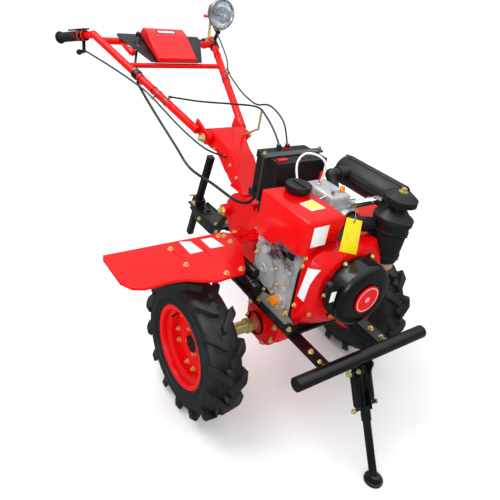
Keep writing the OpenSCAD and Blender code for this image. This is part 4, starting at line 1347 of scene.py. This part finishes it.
    def tag(self) -> None:
        """Plain yellow tag that hangs from a wire."""
        sheet = Shape().plate([(250.5, -93, 790), (252, -88, 685), (252, -12, 655),
                               (250.5, -27, 767)], 0.8, 0.3)
        piece("hang_tag", sheet, Look.TAG, sharp=30)
        wire = Shape().tube([(251, -60, 771), (253, -58, 778), (247, -56, 786), (230, -40, 790),
                             (206, -20, 786), (170, 10, 772), (104, 40, 762)], 1.0, 8, 3)
        wire.band(2.4, 4.4, 1.7, (250.7, -60, 771), FORE, 20)
        piece("tag_wire", wire, Look.STEEL)

    def build(self) -> None:
        """Makes the engine's pieces."""
        for part in (self.block, self.side, self.pipes, self.shroud, self.tank, self.breathing,
                     self.electrics, self.tag):
            part()


# ---------------------------------------------------------------- column, handlebar and lamp
@dataclass
class Handle:
    """Column, handlebar, its controls, the lamp and the cables."""

    pivot: Point = (-503.0, 89.0, 730.0)
    rise: float = math.radians(18.5)
    splay: float = math.radians(16.8)
    length: float = 700.0
    grip: float = 19.0
    knob: tuple[float, float] = (-1204.0, 1084.0)
    lamp: Point = (-1072.0, 272.0, 1074.0)
    lamp_radius: float = 64.0
    rib_step: float = 6.4

    @property
    def tilt(self) -> float:
        """Angle between the ground and the plane of both tubes."""
        return math.atan(math.tan(self.rise) / math.cos(self.splay))

    def tube_way(self, k: int) -> Vector:
        """The way that a handle tube runs from its pivot."""
        return Vector((-math.cos(self.rise) * math.cos(self.splay),
                       k * math.cos(self.rise) * math.sin(self.splay), math.sin(self.rise)))

    def on_tube(self, s: float, k: int) -> Vector:
        """The middle of a handle tube, s along it."""
        x, y, z = self.pivot
        return Vector((x, k * y, z)) + self.tube_way(k) * s

    def grip_way(self, k: int) -> Vector:
        """The way that a grip tube runs from its bend."""
        return Vector((-207, k * 79, -57)).normalized()

    def on_grip(self, s: float, k: int) -> Vector:
        """The middle of a grip tube, s from the bend."""
        return self.on_tube(self.length, k) + self.grip_way(k) * s

    def plane(self, x: float, y: float, z: float) -> Vector:
        """A point in the plane of the handle tubes: x along them, z off them."""
        c, s = math.cos(self.tilt), math.sin(self.tilt)
        return Vector((self.pivot[0] + x * c + z * s, y, self.pivot[2] - x * s + z * c))

    def bars(self) -> None:
        """Tubes, grips and levers."""
        dress("column", 2.0)
        dress("handlebar hand_lever_right", 1.2)
        dress("grip_right grip_left", 1.6)
        dress("throttle_lever shift_lever", 1.0)
        screws, clamp, r = Screws("handle_screws"), Shape(), self.grip
        for k, word in zip(SIDES, ("right", "left")):
            out, way = (0, k, 0), self.grip_way(k)
            screws.add((self.pivot[0], k * 98.5, self.pivot[2]), out, 20)
            screws.add((-470, k * 60, 700), out, 8)
            screws.many(on_y(k * 46, [(-420, 690), (-380, 668), (-330, 640)]), out, 8)
            screws.add(self.on_tube(412, k) + Vector((0, k * 8, 18)), UP, 9)
            ring = Shape().lathe([(r - 0.4, -1.6), (r + 1.0, -1.0), (r + 1.0, 1.0),
                                  (r - 0.4, 1.6)], (0, 0, 0), way, 28)
            rings = row(ring, 13, way * 7.0, Look.GRIP, Matrix.Translation(self.on_grip(126, k)))
            piece(f"grip_rings_{word}", [rings], Look.GRIP)
        screws.many([self.on_grip(s, -1) + Vector((0, 0, 21)) for s in (62, 94)], UP, 9).build()
        for s in (52, 80):
            clamp.lathe([(19.6, 0), (21.8, 0.8), (21.8, 7), (19.6, 8)], self.on_grip(s, -1),
                        self.grip_way(-1))
        piece("lever_clamp", clamp, Look.RED_PLASTIC)
        x, z = self.knob
        y = self.on_grip(58, 1).y
        knob = Shape().lathe([(0, -14.3), (7, -12.6), (12.5, -7), (14.4, 0), (12.5, 7), (7, 12.6),
                              (0, 14.3)], (x, y, z), steps=28)
        for k in SIDES:
            knob.tube([(x + k * 10, y + k * 8.5, z - 42), (x + k * 26.6, y + k * 22.5, z - 42)],
                      6.5, 16)
        piece("throttle_knob", knob, Look.RED_PLASTIC)

    def tray(self) -> None:
        """The tray between the tubes and its cover."""
        dress("dash_tray", 0.8)
        side = [(-454, 18.4), (-650, 18.4), (-656, 36), (-646, 56), (-628, 66), (-590, 68),
                (-568, 62), (-458, 34)]
        lid = Shape().slab([self.plane(x, -92, z) for x, z in side], Vector((0, 184, 0)), 13.0)
        piece("dash_lid", lid, Look.RED_PLASTIC, sharp=60, replaces=["dash_cover"])
        rim = [(-459, -116), (-459, 116), (-640, 194), (-661, 188), (-661, -188), (-640, -194),
               (-459, -116)]
        edge = Shape().tube([self.plane(x, y, 16.2) for x, y in rim], 1.6, 8)
        piece("tray_edge", edge, Look.BLACK_PLASTIC)
        at = Matrix.Translation(self.plane(-611, -46, 67.2)) @ Matrix.Rotation(self.tilt, 4, "Y")
        # Painted shade: a near-black block round the label, where the lid's slot is.
        piece("cover_slot_shade", Shape().block((0, 0, 0), (22, 88, 0.8), 0.3, at), Look.DARK)
        piece("cover_label", Shape().block((4, 5, 0.6), (18, 83, 1.2), 0.2, at), Look.LABEL)
        line = [(-610, -186), (-592, -179), (-570, -170), (-552, -163), (-542, -159), (-537, -157)]
        boss = Shape().tube([self.plane(x, y, 1) for x, y in line],
                            [4.0, 8.0, 12.5, 15.0, 12.5, 5.0], 20)
        piece("tray_boss", boss, Look.RED_PLASTIC)

    def light(self) -> None:
        """Headlamp with its ribbed glass and bracket."""
        dress("headlamp", 0.8)
        dress("lamp_bracket", 1.2)
        dress("headlamp_lens", 0.0)
        x, y, z = self.lamp
        r = self.lamp_radius
        ribs = Shape()
        for i in range(-8, 9):
            off = i * self.rib_step
            half = math.sqrt(56.0 ** 2 - off ** 2)
            deep = 9.0 + 9.0 * (1 - (off / 60) ** 2)
            shoulder = 0.3 + deep * 0.94
            ribs.tube([(x + out, y + off, z + half * up) for out, up in (
                (9.2, -1), (shoulder, -0.5), (0.5 + deep, 0), (shoulder, 0.5), (9.2, 1))],
                0.9, 6, 1)
        piece("lens_ribs", ribs, Look.GLASS)
        bulb = [(0, -46), (14, -46), (14, -10), (9, -8), (9, 0), (7, 4), (0, 6)]
        piece("bulb", Shape().lathe(bulb, self.lamp, FORE, 28), Look.STEEL)
        bowl = [(14, -49), (36, -40), (50, -16), (54.4, 2), (53.6, 2), (49, -15), (35, -38),
                (14, -47)]
        piece("reflector", Shape().lathe(bowl, self.lamp, FORE, 56), Look.MIRROR)
        rim = [(r - 3.4, 12.0), (r - 0.6, 12.4), (r - 1.2, 14.6), (r - 3.2, 14.4)]
        piece("lamp_rim", Shape().lathe(rim, self.lamp, FORE, 64), Look.CHROME)
        screws = Screws("lamp_screws").add((x - 6, y - 11, z - 64), RIGHT, 11)
        screws.add((x + 4, y, z - 62), FORE, 9)
        screws.add(self.on_tube(650, 1) + Vector((0, -4, 21)), UP, 9).build()

    def wires(self) -> None:
        """Cables with their ties and ends."""
        dress("cable_clutch cable_loom cable_throttle lamp_lead", 0.0)
        dress("cable_pin", 0.6)
        ties, clips, ends = Shape(), Shape(), Shape()
        for s, k in ((380, -1), (300, -1), (360, 1), (560, 1)):
            ties.lathe([(15.2, 0), (16.8, 0.4), (16.8, 4), (15.2, 4.4)], self.on_tube(s, k),
                       self.tube_way(k), 28)
        piece("cable_ties", ties, Look.CABLE)
        free_end, free_way = (-704, -138, 822), (143, 48, 25)
        for s, k, held, way in ((225, -1, free_end, free_way),
                                (384, 1, (-840, 200, 880), (190, -60, -20)),
                                (274.5, -1, (-747, -192, 808), (200, 92, -90))):
            at, cable = self.on_tube(s, k), Vector(held)
            out = (cable - at).normalized()
            clips.lathe([(14.8, -4), (16.4, -3.6), (16.4, 3.6), (14.8, 4)], at, self.tube_way(k),
                        28)
            clips.tube([at + out * 15, cable - out * 3.2], 2.4, 8)
            clips.lathe([(3.3, -6), (5.2, -5.4), (5.2, 5.4), (3.3, 6)], held, way, 20)
        clips.lathe([(0, -9), (4.6, -8), (4.8, -5), (0, -5)], free_end, free_way, 20)
        piece("cable_clips", clips, Look.GALVANISED)
        for at in ((-196, 9, 812), (-196, 44, 811)):
            ends.post([(7, 0), (7, 3), (4, 4)], at, steps=6)
        piece("cable_ends", ends, Look.STEEL)

    def build(self) -> None:
        """Makes the pieces."""
        for part in (self.bars, self.tray, self.light, self.wires):
            part()


# ---------------------------------------------------------------- battery and fenders
@dataclass
class Battery:
    """Battery with its caps, posts and hold-down."""

    side_x: float = -200.0
    lid: float = 797.8
    cells: int = 6
    pitch: float = 27.0

    def build(self) -> None:
        """Makes the pieces."""
        dress("battery", 1.6)
        dress("battery_tray", 0.8)
        dress("battery_hold_down", 0.6, look=Look.GALVANISED)
        caps = Shape().block((self.side_x, -66, 690), (self.side_x + 1, 128, 692), 0.2)
        for i in range(self.cells):
            caps.post([(8, 0), (8, 2), (7, 3)], (-108, -36 + i * self.pitch, self.lid), steps=20)
        piece("battery_caps", caps, Look.BLACK_PLASTIC)
        red = Shape().block((-112, -60, self.lid), (-96, -24, self.lid + 6.2), 2.0)
        red.band(9.2, 12, 5, (-192, 44, self.lid), steps=24)
        piece("battery_red_cap", red, Look.RED_PLASTIC)
        Screws("battery_screws").many([(-145, -84, 809), (-145, 146, 809)], UP, 8).build()


@dataclass
class Fenders:
    """Pressed guards over the wheels."""

    top: float = 534.0

    def build(self) -> None:
        """Makes the pieces."""
        dress("fender_right fender_left", 1.6)
        ribs, joints, labels, screws = Shape(), Shape(), Shape(), Screws("fender_screws")
        top = self.top
        for k in SIDES:
            for x0, y0, x1, y1 in ((-116, 396, -34, 381), (-99, 301, -20, 300)):
                ribs.tube([(x0, k * y0, top - 1.2), (x0 + 4, k * y0, top + 0.6),
                           (x1 - 4, k * y1, top + 0.6), (x1, k * y1, top - 1.2)], 3.2)
            joints.tube([(-146, k * 415, top - 0.7), (24, k * 428, top - 0.7)], 1.2, 8)
            screws.many([(x, k * y, top) for x, y in ((-126, 400), (-33, 395), (49, 305),
                                                      (-144, 218), (47, 253))], UP, 10)
            screws.many([(x, k * 200, top + 0.5) for x in (-138, -100)], UP, 10)
        piece("fender_ribs", ribs, Look.RED_PAINT)
        piece("fender_joints", joints, Look.RED_PAINT)
        screws.build()
        for corners in ([(-157, -355), (-82, -354), (-83, -310), (-147, -320)],
                        [(-147, -283), (-88, -279), (-86, -232), (-145, -242)]):
            labels.plate(on_z(top, corners), 0.5)
        piece("fender_labels", labels, Look.LABEL)


# ---------------------------------------------------------------- stage
@dataclass
class Stage:
    """Floor, light and camera."""

    distance: float = 1.598012
    azimuth: float = 51.178502
    elevation: float = 31.017297
    roll: float = 9.753437
    lens: float = 35.919
    aim: Point = (0.150, 0.0, 0.450)
    shift: tuple[float, float] = (-0.244815, 0.093376)
    floor_half: float = 30.0

    def floor(self) -> None:
        """Plain pale floor."""
        corners = [(x * self.floor_half, y * self.floor_half, 0)
                   for x, y in ((-1, -1), (1, -1), (1, 1), (-1, 1))]
        mesh = bpy.data.meshes.new("floor")
        mesh.from_pydata(corners, [], [(0, 1, 2, 3)])
        mesh.materials.append(Finish("floor", "FFFFFF", "FDFDFD", 0.3, 0.6, 0.85, 0.95, 30.0, 0.0,
                                     specular=0.0).material())
        made = stand("floor", mesh)
        made.visible_glossy = False

    def world(self) -> None:
        """White surround that lights softly; in reflections it fades from the top down."""
        world = bpy.data.worlds.new("studio")
        bpy.context.scene.world = world
        world.use_nodes = True
        world.node_tree.nodes.clear()
        nodes = Nodes(world.node_tree)
        soft = (0.98, 0.99, 1.0, 1.0)
        path = nodes.node("ShaderNodeLightPath")
        seen = nodes.node("ShaderNodeMath", {0: path.outputs["Is Camera Ray"],
                                             1: path.outputs["Is Transmission Ray"]},
                          operation="MAXIMUM")
        split = nodes.node("ShaderNodeSeparateXYZ", {
            0: nodes.node("ShaderNodeNewGeometry").outputs["Incoming"]})
        rising = nodes.node("ShaderNodeMapRange", {"Value": split.outputs["Z"], "From Min": -0.2,
                                                   "From Max": -0.95, "To Min": 0.18,
                                                   "To Max": 1.6})
        sky, mirrored, plain = (
            nodes.node("ShaderNodeBackground", {"Color": color, "Strength": strength})
            for color, strength in ((soft, 1.04), (soft, rising),
                                    ((1.0, 1.0, 1.0, 1.0), 1.0)))
        gloss = nodes.node("ShaderNodeMixShader", {0: path.outputs["Is Glossy Ray"],
                                                   1: sky, 2: mirrored})
        mix = nodes.node("ShaderNodeMixShader", {0: seen, 1: gloss, 2: plain})
        nodes.node("ShaderNodeOutputWorld", {"Surface": mix})

    def lamp(self, name: str, at: Triple, size: float, power: float) -> None:
        """Soft area light that looks at the machine.

        Args:
            name: its name.
            at: where it hangs, in metres.
            size: its side.
            power: its watts.
        """
        data = bpy.data.lights.new(name, "AREA")
        data.shape = "SQUARE"
        data.size = size
        data.energy = power
        lamp = stand(name, data)
        lamp.matrix_world = basis(at, Vector(at) - Vector((0, 0, 0.5)))

    def camera(self) -> None:
        """The camera that looks down on the front right corner."""
        az, el, ro = (math.radians(v) for v in (self.azimuth, self.elevation, self.roll))
        back = Vector((math.sin(az) * math.cos(el), -math.cos(az) * math.cos(el), math.sin(el)))
        right = Vector((math.cos(az), math.sin(az), 0))
        up = back.cross(right)
        x = right * math.cos(ro) + up * math.sin(ro)
        y = -right * math.sin(ro) + up * math.cos(ro)
        eye = Vector(self.aim) + right * self.shift[0] + up * self.shift[1] + back * self.distance
        eye.x += AXLE_X
        data = bpy.data.cameras.new("camera")
        data.lens = self.lens
        data.sensor_width = 36.0
        data.clip_start = 0.02
        data.clip_end = 200.0
        made = stand("camera", data)
        made.matrix_world = (Matrix.Translation(eye) @ Matrix((x, y, back)).transposed().to_4x4())
        bpy.context.scene.camera = made

    def build(self) -> None:
        """Sets the stage."""
        bpy.context.scene.view_settings.view_transform = "Standard"
        self.floor()
        self.world()
        self.lamp("key", (-0.6, -1.4, 3.4), 2.0, 55.0)
        self.lamp("side", (3.0, -2.6, 2.0), 1.4, 30.0)
        self.camera()


def main() -> None:
    """Builds the machine's look in order."""
    logging.basicConfig(level=logging.INFO, format="%(name)s %(message)s")
    for part in (Wheel(-1), Wheel(1), RearGear(), FrontFrame(), Engine(), Handle(), Battery(),
                 Fenders(), Stage()):
        LOG.info("building %s", part)
        part.build()


if __name__ == "__main__":
    main()
